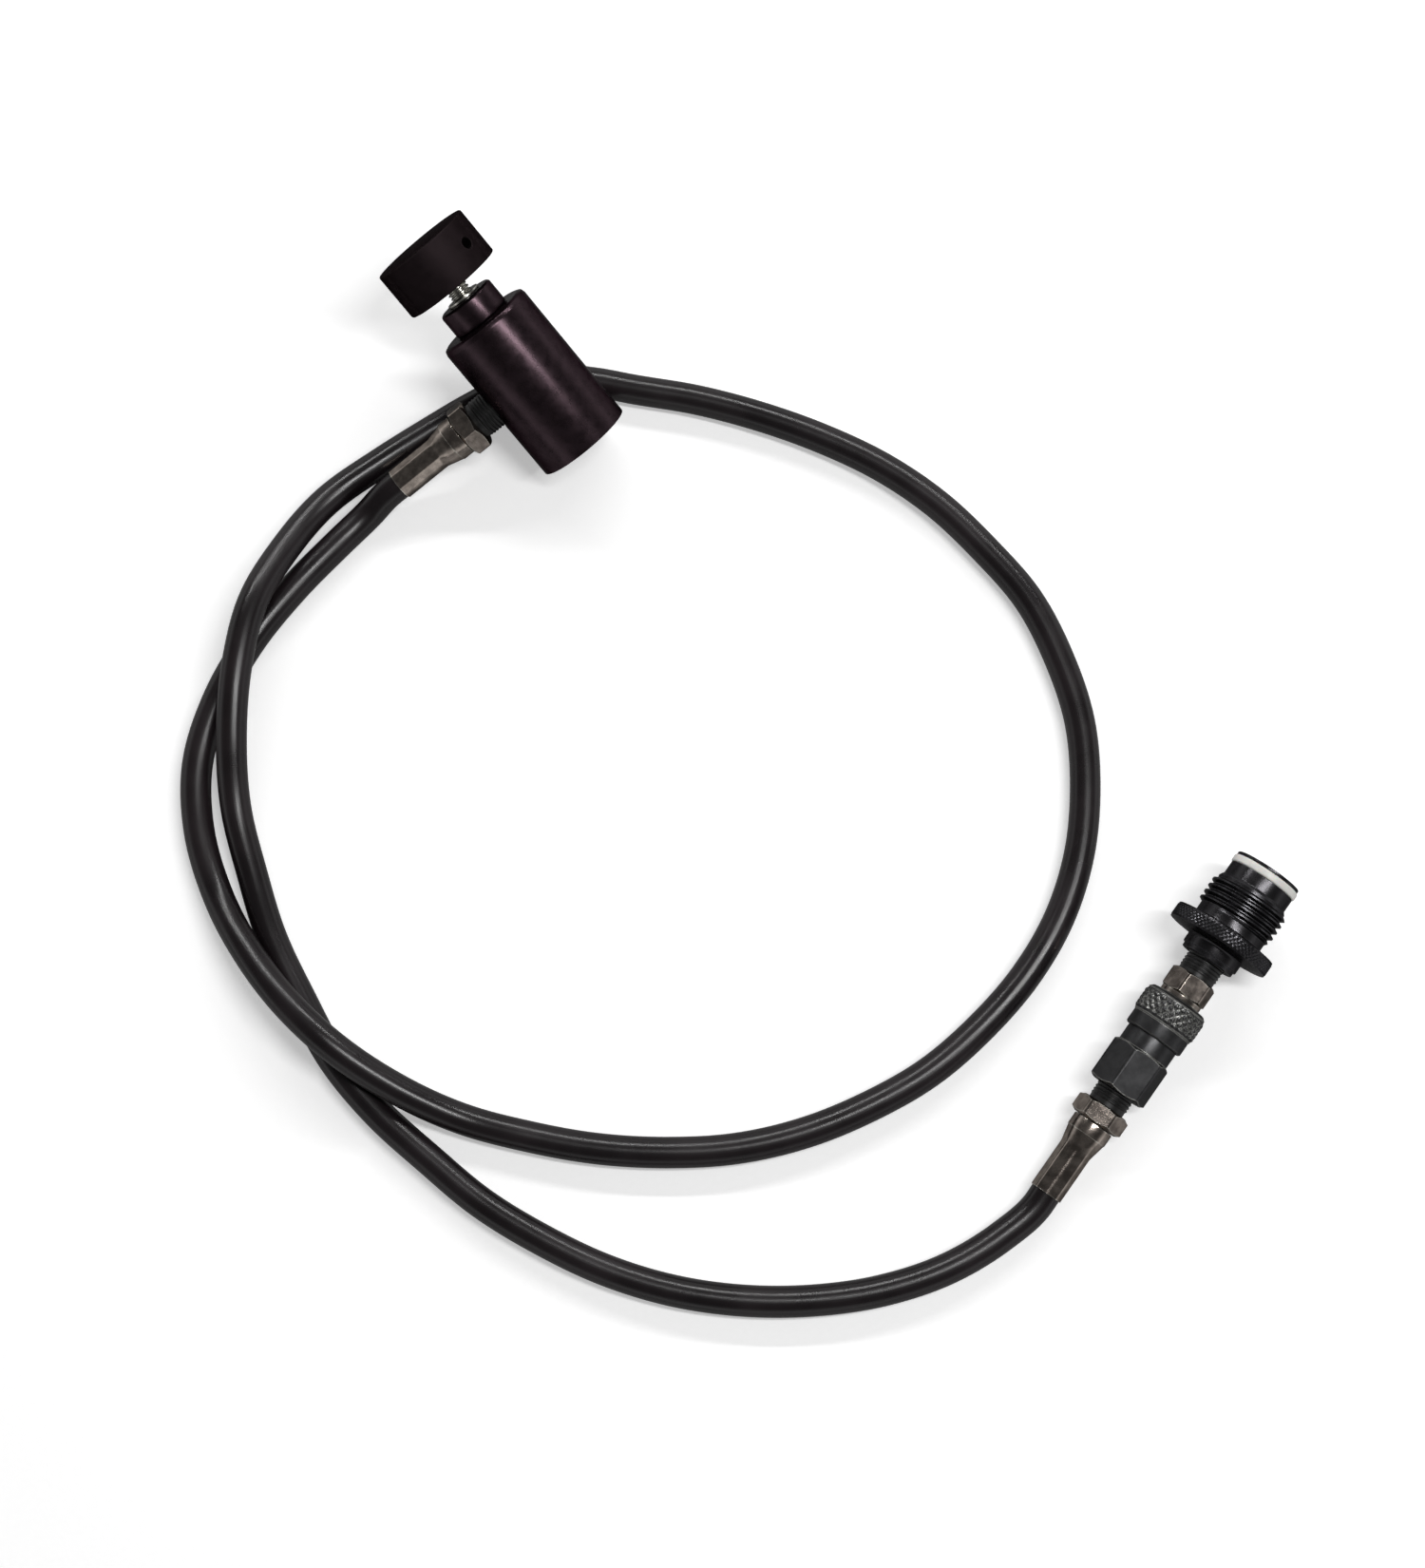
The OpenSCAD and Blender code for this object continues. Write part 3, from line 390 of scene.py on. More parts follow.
def drill(piece, end, start, radius, face, wider, below, above, columns):
    """Drills a hole from a height out through a face. Its mouth widens from below the face to above."""
    past = face + 4                             # clear of the piece
    cutter = spun("drill", end, [
        (0, start), (radius, start), (radius, face - below), (radius + wider, face + above),
        (radius + wider, past), (0, past)], around(columns))
    modifier = piece.modifiers.new("hole", "BOOLEAN")
    modifier.operation = "DIFFERENCE"
    modifier.solver = "EXACT"
    modifier.object = cutter
    bpy.context.view_layer.update()
    shown = piece.evaluated_get(bpy.context.evaluated_depsgraph_get())
    result = bpy.data.meshes.new_from_object(shown)
    piece.modifiers.clear()
    piece.data = result
    bpy.data.objects.remove(cutter)
    result.shade_smooth()
    result.set_sharp_from_angle(angle=SHARP)


# ---- materials ----

def feed(tree, node, inputs):
    """Gives a node's inputs their values, or the sockets that feed them."""
    for key, value in inputs.items():
        if isinstance(value, bpy.types.NodeSocket):
            tree.links.new(value, node.inputs[key])
        else:
            node.inputs[key].default_value = value


def add(tree, kind, settings=None, inputs=None):
    """Adds a node with its properties and its inputs, and returns it."""
    node = tree.nodes.new(kind)
    for key, value in (settings or {}).items():
        setattr(node, key, value)
    feed(tree, node, inputs or {})
    return node


def new_material(name):
    """A material with nodes, its emptied tree, and its Principled shader."""
    material = bpy.data.materials.new(name)
    material.use_nodes = True
    tree = material.node_tree
    tree.nodes.clear()
    shader = add(tree, "ShaderNodeBsdfPrincipled")
    add(tree, "ShaderNodeOutputMaterial", None, {"Surface": shader.outputs["BSDF"]})
    return material, tree, shader


def rgba(c, scale=1.0):
    """A colour with full alpha."""
    return (*[min(1.0, x * scale) for x in c], 1.0)


def ramp(tree, value, low, high, from_value=0.0, to_value=1.0, kind="SMOOTHSTEP"):
    """A value mapped from the range low to high, smoothly unless another kind is given."""
    return add(tree, "ShaderNodeMapRange", {"interpolation_type": kind}, {
        "Value": value, "From Min": low, "From Max": high, "To Min": from_value, "To Max": to_value,
    }).outputs["Result"]


def scaled(tree, vector, scale):
    """A vector times a scale along each axis."""
    return add(tree, "ShaderNodeMapping", None, {"Vector": vector, "Scale": scale}).outputs["Vector"]


def surface_mm(tree, stretch=(1, 1)):
    """The piece's own map: millimetres round it and along its outline, each times a stretch."""
    uv = add(tree, "ShaderNodeUVMap", {"uv_map": "surface_mm"})
    return scaled(tree, uv.outputs["UV"], (*stretch, 1))


def object_mm(tree):
    """Object coordinates in millimetres."""
    return scaled(tree, add(tree, "ShaderNodeTexCoord").outputs["Object"], (1 / MM,) * 3)


def noise(tree, vector, scale, detail=2.0, roughness=0.5):
    """Fractal noise at a scale, in cells to the unit of the vector."""
    return add(tree, "ShaderNodeTexNoise", None, {
        "Vector": vector, "Scale": scale, "Detail": detail, "Roughness": roughness,
    }).outputs["Fac"]


def mixed(tree, share, a, b):
    """Two colours mixed by a share."""
    node = add(tree, "ShaderNodeMix", {"data_type": "RGBA"}, {0: share, 6: a, 7: b})
    return node.outputs[2]


def maths(tree, operation, a, b=0.0):
    """One sum of two values."""
    return add(tree, "ShaderNodeMath", {"operation": operation}, {0: a, 1: b}).outputs["Value"]


def cloudy(tree, clouds, base, dark, light):
    """A colour that drifts with the clouds between two shades of a base."""
    return mixed(tree, ramp(tree, clouds, *CLOUDS), rgba(base, dark), rgba(base, light))


def drift(tree, clouds, low, high):
    """A value that drifts with the clouds."""
    return ramp(tree, clouds, *CLOUDS, low, high, "LINEAR")


def bump(tree, height, distance):
    """A bumped normal from a height of 0 to 1, whose full height is a distance in millimetres."""
    return add(tree, "ShaderNodeBump", None, {
        "Height": height, "Distance": distance * MM, "Strength": 1.0,
    }).outputs["Normal"]


def edge_wear_and_highlight_mask(tree):
    """1 on convex edges and 0 on flats, from how far a bevelled normal leans from the true one. It
    masks the paler edge colour: a painted highlight, with some wearing.
    """
    bevel = add(tree, "ShaderNodeBevel", {"samples": 6}, {"Radius": EDGE_REACH * MM})
    true_normal = add(tree, "ShaderNodeNewGeometry")
    lean = add(tree, "ShaderNodeVectorMath", {"operation": "DOT_PRODUCT"}, {
        0: bevel.outputs["Normal"], 1: true_normal.outputs["Normal"]})
    off = maths(tree, "SUBTRACT", 1.0, lean.outputs["Value"])
    return ramp(tree, off, *EDGE_LEAN)


def turned_metal(name, base, metallic, roughness, marks, wear_and_highlight_share=0.0, wear_and_highlight_colour="", mottle=0.15, grazing=0.35):
    """Turned metal under a dyed, plated or blackened skin. Fine tool marks run round it, its colour
    varies a little from place to place, and its edges turn paler, partly as a painted highlight and
    partly as wearing. The skins drink light, so grazing reflections are held down to a share."""
    material, tree, shader = new_material(name)
    lines = noise(tree, surface_mm(tree, (0.02, 6.0)), 1.0, 3.0, 0.7)
    clouds = noise(tree, object_mm(tree), 0.35, 4.0, 0.6)
    grit = noise(tree, object_mm(tree), 5.0, 2.0, 0.6)
    tone = cloudy(tree, clouds, base, 1 - mottle, 1 + mottle)
    # Painted highlight, with some wearing: convex edges, broken up by the grit, are mixed towards a paler
    # colour.
    if wear_and_highlight_share:
        rubbed_and_highlit = maths(tree, "MULTIPLY", edge_wear_and_highlight_mask(tree), ramp(tree, grit, 0.25, 0.5))
        tone = mixed(tree, maths(tree, "MULTIPLY", rubbed_and_highlit, wear_and_highlight_share), tone, rgba(linear(wear_and_highlight_colour)))
    skin = maths(tree, "ADD", maths(tree, "MULTIPLY", lines, marks), maths(tree, "MULTIPLY", grit, 0.3))
    feed(tree, shader, {
        "Base Color": tone, "Metallic": metallic, "Specular Tint": (grazing, grazing, grazing, 1),
        "Roughness": drift(tree, clouds, roughness * (1 - UNEVEN), roughness * (1 + UNEVEN)),
        "Normal": bump(tree, skin, 0.012)})
    return material


def plum_anodised():
    """Anodised aluminium dyed plum: a thin clear oxide over turned metal, so the highlights stay
    narrow, soft-edged and faintly pink."""
    # Its paler edge colour is the pink of a highlight: a painted highlight on the edges, with some
    # wearing.
    return turned_metal("anodised_aluminium_plum", finishes().plum, 0.95, 0.28, 0.4, 0.25, "#6f5b62")


def black_anodised():
    """Anodised aluminium dyed black: nearly neutral, and duller than the plum."""
    # Its paler edge grey is a painted highlight on edges and thread crests, with some wearing.
    return turned_metal("anodised_aluminium_black", finishes().black_dye, 0.9, 0.26, 0.6,
                        0.35, "#77777c", mottle=0.08)


def blasted_black():
    """Anodised aluminium, bead-blasted before it was dyed black: matte, with no highlight to speak of."""
    return turned_metal("blasted_anodised_black", finishes().blasted_dye, 1.0, 0.62, 0.3,
                        0.15, "#55504f", grazing=0.08)


def black_oxide():
    """Black oxide on steel: a thin matte skin that holds oil. Its knurl points and edges are painted
    pale grey: a highlight where light catches them, with some wearing.
    """
    return turned_metal("black_oxide_steel", finishes().black_oxide, 0.8, 0.34, 0.5, 0.9, "#b4b4af")


def dark_plated():
    """Dull nickel plate on crimped and turned steel: warm grey, with edges painted bright: partly a
    highlight, partly wearing.
    """
    return turned_metal("dull_nickel_plated_steel", finishes().dark_plate, 1.0, 0.2, 0.5,
                        1.0, "#dedad0", mottle=0.35)


def bright_steel():
    """Bare turned steel, bright."""
    return turned_metal("turned_steel", finishes().bright_steel, 1.0, 0.25, 1.0)


def hose_cover():
    """Extruded polyurethane cover over a braid: smooth, glossy and black. The braid shows through as
    faint diagonal ribs, and the pins that vent the cover have left fine dots along it."""
    material, tree, shader = new_material("extruded_polyurethane_cover")
    pitch = sizes().braid
    split = add(tree, "ShaderNodeSeparateXYZ", None, {"Vector": surface_mm(tree)})
    u, v = split.outputs["X"], split.outputs["Y"]
    strand = lambda a, b: maths(tree, "SINE", maths(tree, "MULTIPLY", maths(tree, a, v, b), TURN / pitch))
    slope = maths(tree, "MULTIPLY", u, 0.9)
    weave = maths(tree, "MULTIPLY", strand("ADD", slope), strand("SUBTRACT", slope))
    patches = ramp(tree, noise(tree, surface_mm(tree, (0.05, 0.02)), 1.0, 2.0), 0.42, 0.62)
    dust = noise(tree, surface_mm(tree), 3.0, 3.0, 0.7)
    clouds = noise(tree, object_mm(tree), 0.06, 3.0)
    ribs = maths(tree, "MULTIPLY", weave, maths(tree, "ADD", maths(tree, "MULTIPLY", patches, 0.8), 0.2))
    height = maths(tree, "ADD", ribs, maths(tree, "MULTIPLY", dust, 0.25))
    feed(tree, shader, {
        "Base Color": cloudy(tree, clouds, finishes().cover, 0.8, 1.6), "IOR": 1.5,
        "Roughness": drift(tree, clouds, 0.24, 0.34), "Normal": bump(tree, height, 0.005)})
    return material


def moulded(name, base, roughness, subsurface=0.0):
    """Moulded rubber or urethane: an even tone, a faint matte grain, and little gloss."""
    material, tree, shader = new_material(name)
    grain = noise(tree, object_mm(tree), 6.0, 3.0, 0.6)
    clouds = noise(tree, object_mm(tree), 0.5, 2.0)
    feed(tree, shader, {
        "Base Color": cloudy(tree, clouds, base, 0.94, 1.04), "Roughness": roughness,
        "Subsurface Weight": subsurface, "Subsurface Scale": 0.5 * MM,
        "Normal": bump(tree, grain, 0.01)})
    return material


def thread_sealant():
    """Anaerobic sealant, wiped on and cured in the thread: nearly black, with a low uneven gloss."""
    return moulded("cured_thread_sealant", finishes().nitrile, 0.38)


MADE = {}
RECIPES = {
    "anodised_plum": plum_anodised,
    "anodised_black": black_anodised,
    "blasted_black": blasted_black,
    "bright_steel": bright_steel,
    "dark_steel": dark_plated,
    "black_oxide": black_oxide,
    "rubber": lambda: moulded("moulded_nitrile", finishes().nitrile, 0.55),
    "urethane": lambda: moulded("moulded_urethane", finishes().urethane, 0.4, subsurface=0.1),
    "hose_black": hose_cover,
    "sealant": thread_sealant,
}


def finish_for(slot):
    """The material of a record's slot, made once."""
    if slot not in MADE:
        MADE[slot] = RECIPES[slot]()
    return MADE[slot]


def slot_of(node):
    """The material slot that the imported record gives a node."""
    return named(frame["record"]["subparts"], node, "node")["material_slot"]


def dress(piece, node, finish=None):
    """Puts a new piece in a node's place, on its body and in its slot's finish or in another."""
    slot = slot_of(node)
    piece.data.materials.clear()
    piece.data.materials.append(finish_for(finish or slot))
    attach(piece, frame["nodes"][node]["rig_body"])
    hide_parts(node)
    return piece


# ---- the hose ----

HOSE_D = 7.9
HOSE_LIFT = HOSE_D / 2 + 0.1    # height of the centre where the hose lies, a hair above the floor
HOSE_STRAIGHT = 4               # straight run at each ferrule
ROUTE = [                       # x, y and lift off the floor
    (-121.5, 54.5, 0.5), (-129, 47, 0), (-141, 34, 0), (-151.5, 20, 0), (-159.5, 4.5, 0), (-164, -12.5, 0),
    (-163, -29.5, 0), (-157.5, -46.5, 1), (-149, -61.5, 5.5), (-138, -75.5, 9), (-128.5, -84.5, 9.5),
    (-110.5, -96.5, 5), (-94.5, -103.5, 0.5), (-77.5, -108, 0), (-60.5, -111, 0), (-43, -112, 0),
    (-25.5, -111, 0), (-8, -107, 0), (8, -100.5, 0), (23, -92, 0), (36.5, -80.5, 0), (48, -67.5, 0),
    (57, -52.5, 0), (62.5, -36, 0), (64.5, -18.5, 0), (63.5, -1, 0), (58.5, 16, 0), (51, 31.5, 0),
    (40, 45, 0), (27.5, 57.5, 0), (13.5, 67.5, 0), (-2.5, 75.5, 0), (-18.5, 81.5, 0), (-35.5, 86.2, 0),
    (-52, 89.1, 0), (-63, 91.2, 0), (-74, 92, 0), (-84.5, 89.7, 0), (-95, 84.2, 0), (-106, 77.3, 0),
    (-118.5, 69, 0), (-132.5, 58, 1),
    (-142.5, 44, 4.5), (-150, 28, 8.5), (-153, 13.5, 9), (-154.5, -6.5, 6), (-153.5, -24, 1.5),
    (-149, -41, 0), (-143.5, -57.5, 0), (-135.5, -73.5, 0), (-127, -88.5, 0), (-115.5, -102, 0),
    (-102.5, -113.5, 0), (-89, -124.5, 0), (-74, -133.5, 0), (-58, -141, 0), (-41.5, -146, 0),
    (-24, -148.5, 0), (-6.5, -148.5, 0), (11, -146, 0), (27.5, -140.5, 0), (41, -132.5, 0),
]


def mouth_and_straight(end, ferrule):
    """The centre of a ferrule's mouth, and the end of the hose's straight run from it."""
    mouth = end.span(ferrule)[1]
    return [end.on_axis(mouth), end.on_axis(mouth + HOSE_STRAIGHT)]


def smooth_line(points, per_span=8):
    """A cubic Hermite line through points: each tangent is the mean of the two spans' directions,
    weighted by the other span's length, and each span's cubic uses its own chord length."""
    spans = np.diff(points, axis=0)
    lengths = np.linalg.norm(spans, axis=1, keepdims=True)
    slopes = spans / lengths
    inner = (slopes[:-1] * lengths[1:] + slopes[1:] * lengths[:-1]) / (lengths[:-1] + lengths[1:])
    tangents = unit(np.concatenate([slopes[:1], inner, slopes[-1:]]))
    t = np.linspace(0, 1, per_span, endpoint=False)[None, :, None]
    a, b = points[:-1, None], points[1:, None]
    ta, tb = tangents[:-1, None] * lengths[:, None], tangents[1:, None] * lengths[:, None]
    line = (a * (2 * t ** 3 - 3 * t ** 2 + 1) + ta * (t ** 3 - 2 * t ** 2 + t)
            + b * (3 * t ** 2 - 2 * t ** 3) + tb * (t ** 3 - t ** 2))
    return np.concatenate([line.reshape(-1, 3), points[-1:]])


def hose_line():
    """The hose's centreline, from the valve's ferrule to the coupler's."""
    return smooth_line(np.concatenate([
        mouth_and_straight(PORT, "tank_ferrule"), np.array(ROUTE) + (0, 0, HOSE_LIFT),
        mouth_and_straight(PLUG, "marker_ferrule")[::-1]]))


def swept_tube(name, line, radius):
    """A circle carried along a line, square to it. One axis of the circle stays level, and the caps
    close on the line's end points."""
    angles = around(32)
    ahead = unit(np.gradient(line, axis=0))
    side = unit(np.cross((0, 0, 1), ahead))
    up = np.cross(ahead, side)
    circle = np.cos(angles)[None, :, None] * side[:, None] + np.sin(angles)[None, :, None] * up[:, None]
    caps = np.repeat(line[[0, -1]][:, None], len(angles), axis=1)
    points = np.concatenate([caps[:1], line[:, None] + radius * circle, caps[1:]])
    along = run_along(line)
    uv = map_mm(angles, radius, np.concatenate([along[:1], along, along[-1:]]))
    return new_piece(name, points.reshape(-1, 3), grid_faces(*points.shape[:2]), uv.reshape(-1, 2))


class AIRLINE_OT_hose(bpy.types.Operator):
    bl_idname = "airline.hose"
    bl_label = "Hose"

    def execute(self, context):
        line = hose_line()
        hose = swept_tube("hose_tube", line, HOSE_D / 2)
        dress(hose, "hose")
        return {"FINISHED"}


# ---- valve ----

class AIRLINE_OT_valve_body(bpy.types.Operator):
    """Turns the valve's body, with its bottle thread and its port"""
    bl_idname = "airline.valve_body"
    bl_label = "Valve body"

    def execute(self, context):
        angles = around(144)
        low, high, radius = VALVE.span("valve_body")
        socket = named(frame["record"]["mounts"], "tank_socket")["dims"]
        bore_r = socket["r_mm"]
        lead, rim, shoulder = 1.0, 1.1, 1.6
        floor = lead + socket["length_mm"]
        guide_r, chamber_r, bonnet_r = 2.55, 5.0, 6.05
        chamber_low, ledge = 18.0, 29.6
        outside = softened([
            (radius - rim, low), (radius, low), (radius, high - shoulder), (radius - 0.35, high - 0.5),
            (radius - shoulder, high), (bonnet_r, high), (bonnet_r, ledge), (chamber_r, ledge),
            (chamber_r, chamber_low), (guide_r, chamber_low), (guide_r, floor), (bore_r, floor),
        ], sizes().edge)
        thread = thread_rows(bore_r, -sizes().bottle_depth, sizes().bottle_pitch,
                             lead + 0.2, floor - 1.5, angles)
        mouth = [(bore_r, lead), (bore_r + 1.1, low), (radius - rim, low)]
        body = turned_piece("valve_body_turned", VALVE, [outside, thread[::-1], mouth], angles)
        port_r = PORT.radii("tank_hose_fitting", 0, radius)[1] + CLEARANCE
        drill(body, PORT, 3.5, port_r, radius, wider=1.1, below=1.0, above=0.4, columns=64)
        dress(body, "valve_body")
        return {"FINISHED"}


class AIRLINE_OT_bonnet(bpy.types.Operator):
    """Turns the bonnet, its washer and the threaded stem"""
    bl_idname = "airline.bonnet"
    bl_label = "Bonnet and stem"

    def execute(self, context):
        angles = around()
        low, high, radius = VALVE.span("bonnet")
        seat = VALVE.span("valve_body")[1]
        spigot_r, stem_bore_r = 6.0, 3.05
        outline = softened([
            (spigot_r, low), (spigot_r, seat), (radius - 0.4, seat), (radius, seat + 0.3),
            (radius, high - 0.6), (radius - 0.6, high), (stem_bore_r + 0.5, high),
            (stem_bore_r, high - 0.5), (stem_bore_r, low), (spigot_r, low),
        ], sizes().edge)
        dress(spun("bonnet_turned", VALVE, outline, angles), "bonnet")

        stem_low, stem_high, stem_r = VALVE.span("stem")
        depth = 0.55
        stem = turned_piece("stem_threaded", VALVE, [
            [(0, stem_low), (stem_r - 0.4, stem_low), (stem_r, stem_low + 0.4), (stem_r, high - 5),
             (stem_r - depth, high - 4.4)],
            thread_rows(stem_r, depth, sizes().stem_pitch, high - 4, stem_high - 0.6, angles),
            [(stem_r - 0.6, stem_high - 0.5), (stem_r - 1, stem_high), (0, stem_high)],
        ], angles)
        dress(stem, "stem")

        washer_low, washer_high, washer_r = VALVE.span("stem_washer")
        ring = softened([
            (stem_bore_r, washer_low), (washer_r, washer_low), (washer_r, washer_high),
            (stem_bore_r, washer_high), (stem_bore_r, washer_low)], 0.15)
        dress(spun("stem_washer_turned", VALVE, ring, angles), "stem_washer")
        return {"FINISHED"}


class AIRLINE_OT_knob(bpy.types.Operator):
    """Turns the knob, with the hole of its grub screw"""
    bl_idname = "airline.knob"
    bl_label = "Knob"

    def execute(self, context):
        low, high, radius = VALVE.span("knob")
        stem_top = VALVE.span("stem")[1] + 0.2
        bore_r = VALVE.span("stem")[2] + CLEARANCE
        outline = softened([
            (0, stem_top), (bore_r, stem_top), (bore_r, low), (radius, low), (radius, high), (0, high),
        ], 0.5)
        knob = spun("knob_turned", VALVE, outline, around(144))
        screw = VALVE.local(node_points("knob_grub_screw"))
        middle = (screw.min(0) + screw.max(0)) / 2
        sideways = unit(VALVE.axes.T @ np.array([middle[0], middle[1], 0]))
        drill(knob, End(VALVE.on_axis(middle[2]), VALVE.axes[2], sideways), bore_r - 0.5, 1.55, radius,
              wider=0.5, below=0.25, above=0.3, columns=36)
        dress(knob, "knob", finish="blasted_black")
        return {"FINISHED"}


# ---- hose ends ----

BORE_MOST = 3                   # no bore under a pipe thread is wider, as a radius


def seal_thread(piece, end, low, high):
    """Gives the faces between two heights the sealant that is wiped on a pipe thread."""
    mesh = piece.data
    mesh.materials.append(finish_for("sealant"))
    centres = np.zeros(len(mesh.polygons) * 3, np.float32)
    mesh.polygons.foreach_get("center", centres)
    at = end.local(centres.reshape(-1, 3) / MM)
    outside = np.hypot(at[:, 0], at[:, 1]) > BORE_MOST
    sealed = (at[:, 2] > low) & (at[:, 2] < high) & outside
    mesh.polygons.foreach_set("material_index", sealed.astype(np.int32))


def pipe_thread(bore_r, thread_r, low, hex_low, run_out, angles):
    """Blocks of rows of a male pipe thread, from its bored end to the hex. The thread stops a run-out
    short of the hex."""
    depth = sizes().pipe_depth
    root_r = thread_r - depth
    return [
        [(bore_r, low), (root_r - 0.4, low), (root_r, low + 0.5)],
        thread_rows(thread_r, depth, sizes().pipe_pitch, low + 0.6, hex_low - run_out, angles),
        [(root_r, hex_low - run_out + 0.1), (root_r, hex_low)],
    ]


def hose_fitting(name, end, node, corner):
    """A hose fitting: helical pipe thread, hex with turned-off corners and a ribbed barb, bored
    through. corner is the angle of one of the hex's corners."""
    angles = around(HEX_SEGMENTS)
    low, high, corner_r = end.span(node)
    hex_low, hex_high, _ = end.span(node, wider_than=5.5)
    bore_r, thread_r = end.radii(node, low - 1, hex_low - 0.3)
    barb_r = end.radii(node, hex_high + 1, high)[1]
    barb = [(barb_r, hex_high)]
    spacing, rise, step = 2.5, 2.2, 0.25
    for z in np.arange(hex_high + 3, high - spacing, spacing):
        barb += [(barb_r - step, z), (barb_r, z + rise)]
    blocks = pipe_thread(bore_r, thread_r, low, hex_low, 0.9, angles) + [
        hex_rows(corner_r, hex_low, hex_high, angles, corner, face_share=0.93),
        barb + [(barb_r, high - 0.3), (barb_r - 0.3, high), (bore_r, high), (bore_r, low)],
    ]
    fitting = dress(turned_piece(name, end, blocks, angles), node)
    seal_thread(fitting, end, low, hex_low - 0.05)


def crimped_ferrule(name, end, node):
    """A crimped ferrule. A plain collar tapers to a crimp, whose outline is a circle cut by eight
    flats; the jaws' gaps leave a ridge between flats. The crimp fades in along the taper."""
    angles = around(128)
    low, high, radius = end.span(node)
    collar, taper, mouth_flare, step = 3.4, 4.6, 1.2, 0.15
    crimp_r, flats, bore_r, barb_r, wall = 4.3, 8.2, 3.55, 2.35, 1.4
    press_from, press_over, left_at_mouth = taper * 0.45, taper * 0.7, 0.55
    rows = np.linspace(low + collar, high, 44)
    cone = np.interp(rows, [low + collar, low + collar + taper, high - mouth_flare, high],
                     [radius - step, crimp_r, crimp_r, crimp_r])
    jaw = np.minimum(hexagon(flats, angles, 0, sides=8), crimp_r)
    pressed = np.clip((rows - low - collar - press_from) / press_over, 0, 1)
    pressed = pressed ** 2 * (3 - 2 * pressed)
    pressed *= np.clip((high - rows) / mouth_flare + left_at_mouth, 0, 1)
    r = cone[:, None] + (jaw[None] - crimp_r) * pressed[:, None]
    crimp = np.stack([r, np.broadcast_to(rows[:, None], r.shape)], -1)
    blocks = [
        softened([(barb_r, low), (radius, low), (radius, low + collar),
                  (radius - step, low + collar + 0.05)], 0.3)[:-1],
        crimp,
        [(crimp_r - 0.2, high + 0.02), (bore_r, high), (bore_r, low + wall), (barb_r, low + wall),
         (barb_r, low)],
    ]
    dress(turned_piece(name, end, blocks, angles), node)


class AIRLINE_OT_hose_ends(bpy.types.Operator):
    """Makes the two hose fittings and the two crimped ferrules"""
    bl_idname = "airline.hose_ends"
    bl_label = "Fittings and ferrules"

    def execute(self, context):
        hose_fitting("tank_fitting_threaded", PORT, "tank_hose_fitting", 29)
        hose_fitting("marker_fitting_threaded", PLUG, "marker_hose_fitting", 4)
        crimped_ferrule("tank_ferrule_crimped", PORT, "tank_ferrule")
        crimped_ferrule("marker_ferrule_crimped", PLUG, "marker_ferrule")
        return {"FINISHED"}


# ---- coupler, plug and adapter ----

COUPLER_CORNER = 48             # angle of a corner of the coupler's and the plug's hexes


class AIRLINE_OT_sleeve(bpy.types.Operator):
    """Turns and knurls the coupler's sleeve"""
    bl_idname = "airline.sleeve"
    bl_label = "Coupler sleeve"

    def execute(self, context):
        low, high, radius = PLUG.span("coupler_sleeve")
        count = round(TURN * radius / sizes().sleeve_knurl)
        angles = around(count * 8)
        grip, bevel = 7.5, 1.0
        skirt_r = round(PLUG.radii("coupler_sleeve", high - 0.1, high + 1)[1] + 0.3, 3)
        bore_r, step_r, lip_r = 7.0, 7.35, 6.05
        step_z, lip_z, lip_len = low + 1.4, low + 4.1, 0.6
        blocks = [
            [(step_r, low), (radius - bevel - 0.1, low), (radius - bevel, low + 0.1),
             (radius - 0.3, low + bevel * 0.8)],
            knurl_rows(radius, sizes().knurl_depth, sizes().sleeve_knurl, low + bevel, low + grip - 0.4,
                       angles, count, steps=8),
            softened([
                (radius - 0.35, low + grip - 0.3), (radius - 0.6, low + grip), (skirt_r, low + grip),
                (skirt_r, high - 0.3), (skirt_r - 0.3, high), (bore_r, high), (bore_r, lip_z + lip_len),
                (lip_r, lip_z + lip_len), (lip_r, lip_z), (bore_r, lip_z), (bore_r, step_z),
                (step_r, step_z), (step_r, low)], 0.12),
        ]
        dress(turned_piece("coupler_sleeve_knurled", PLUG, blocks, angles), "coupler_sleeve")
        return {"FINISHED"}


class AIRLINE_OT_coupler_body(bpy.types.Operator):
    """Turns the coupler's body: barrel, neck and hex, with the stepped bore of the plug and poppet"""
    bl_idname = "airline.coupler_body"
    bl_label = "Coupler body"

    def execute(self, context):
        angles = around(HEX_SEGMENTS)
        low, high, corner_r = PLUG.span("coupler_body")
        hex_low, hex_high, _ = PLUG.span("coupler_body", wider_than=7.1)
        neck_low, nose_low, seat, pipe_low = low + 10.8, low + 7.2, low + 14.1, high - 5.8
        barrel_r, neck_r, pipe_r, poppet_r, nose_r, plug_r = 6.0, 6.95, 5.15, 4.7, 4.0, 5.05
        blocks = [
            softened([
                (plug_r, low), (barrel_r - 0.3, low), (barrel_r, low + 0.3), (barrel_r, neck_low),
                (neck_r, neck_low), (neck_r, hex_low - 0.01)], 0.1),
            hex_rows(corner_r, hex_low, hex_high, angles, COUPLER_CORNER, face_share=0.97),
            softened([
                (pipe_r + 0.6, hex_high), (pipe_r, hex_high - 0.6), (pipe_r, pipe_low),
                (poppet_r, pipe_low), (poppet_r, seat), (nose_r, seat), (nose_r, nose_low),
                (plug_r, nose_low), (plug_r, low)], 0.1),
        ]
        dress(turned_piece("coupler_body_turned", PLUG, blocks, angles), "coupler_body")
        return {"FINISHED"}


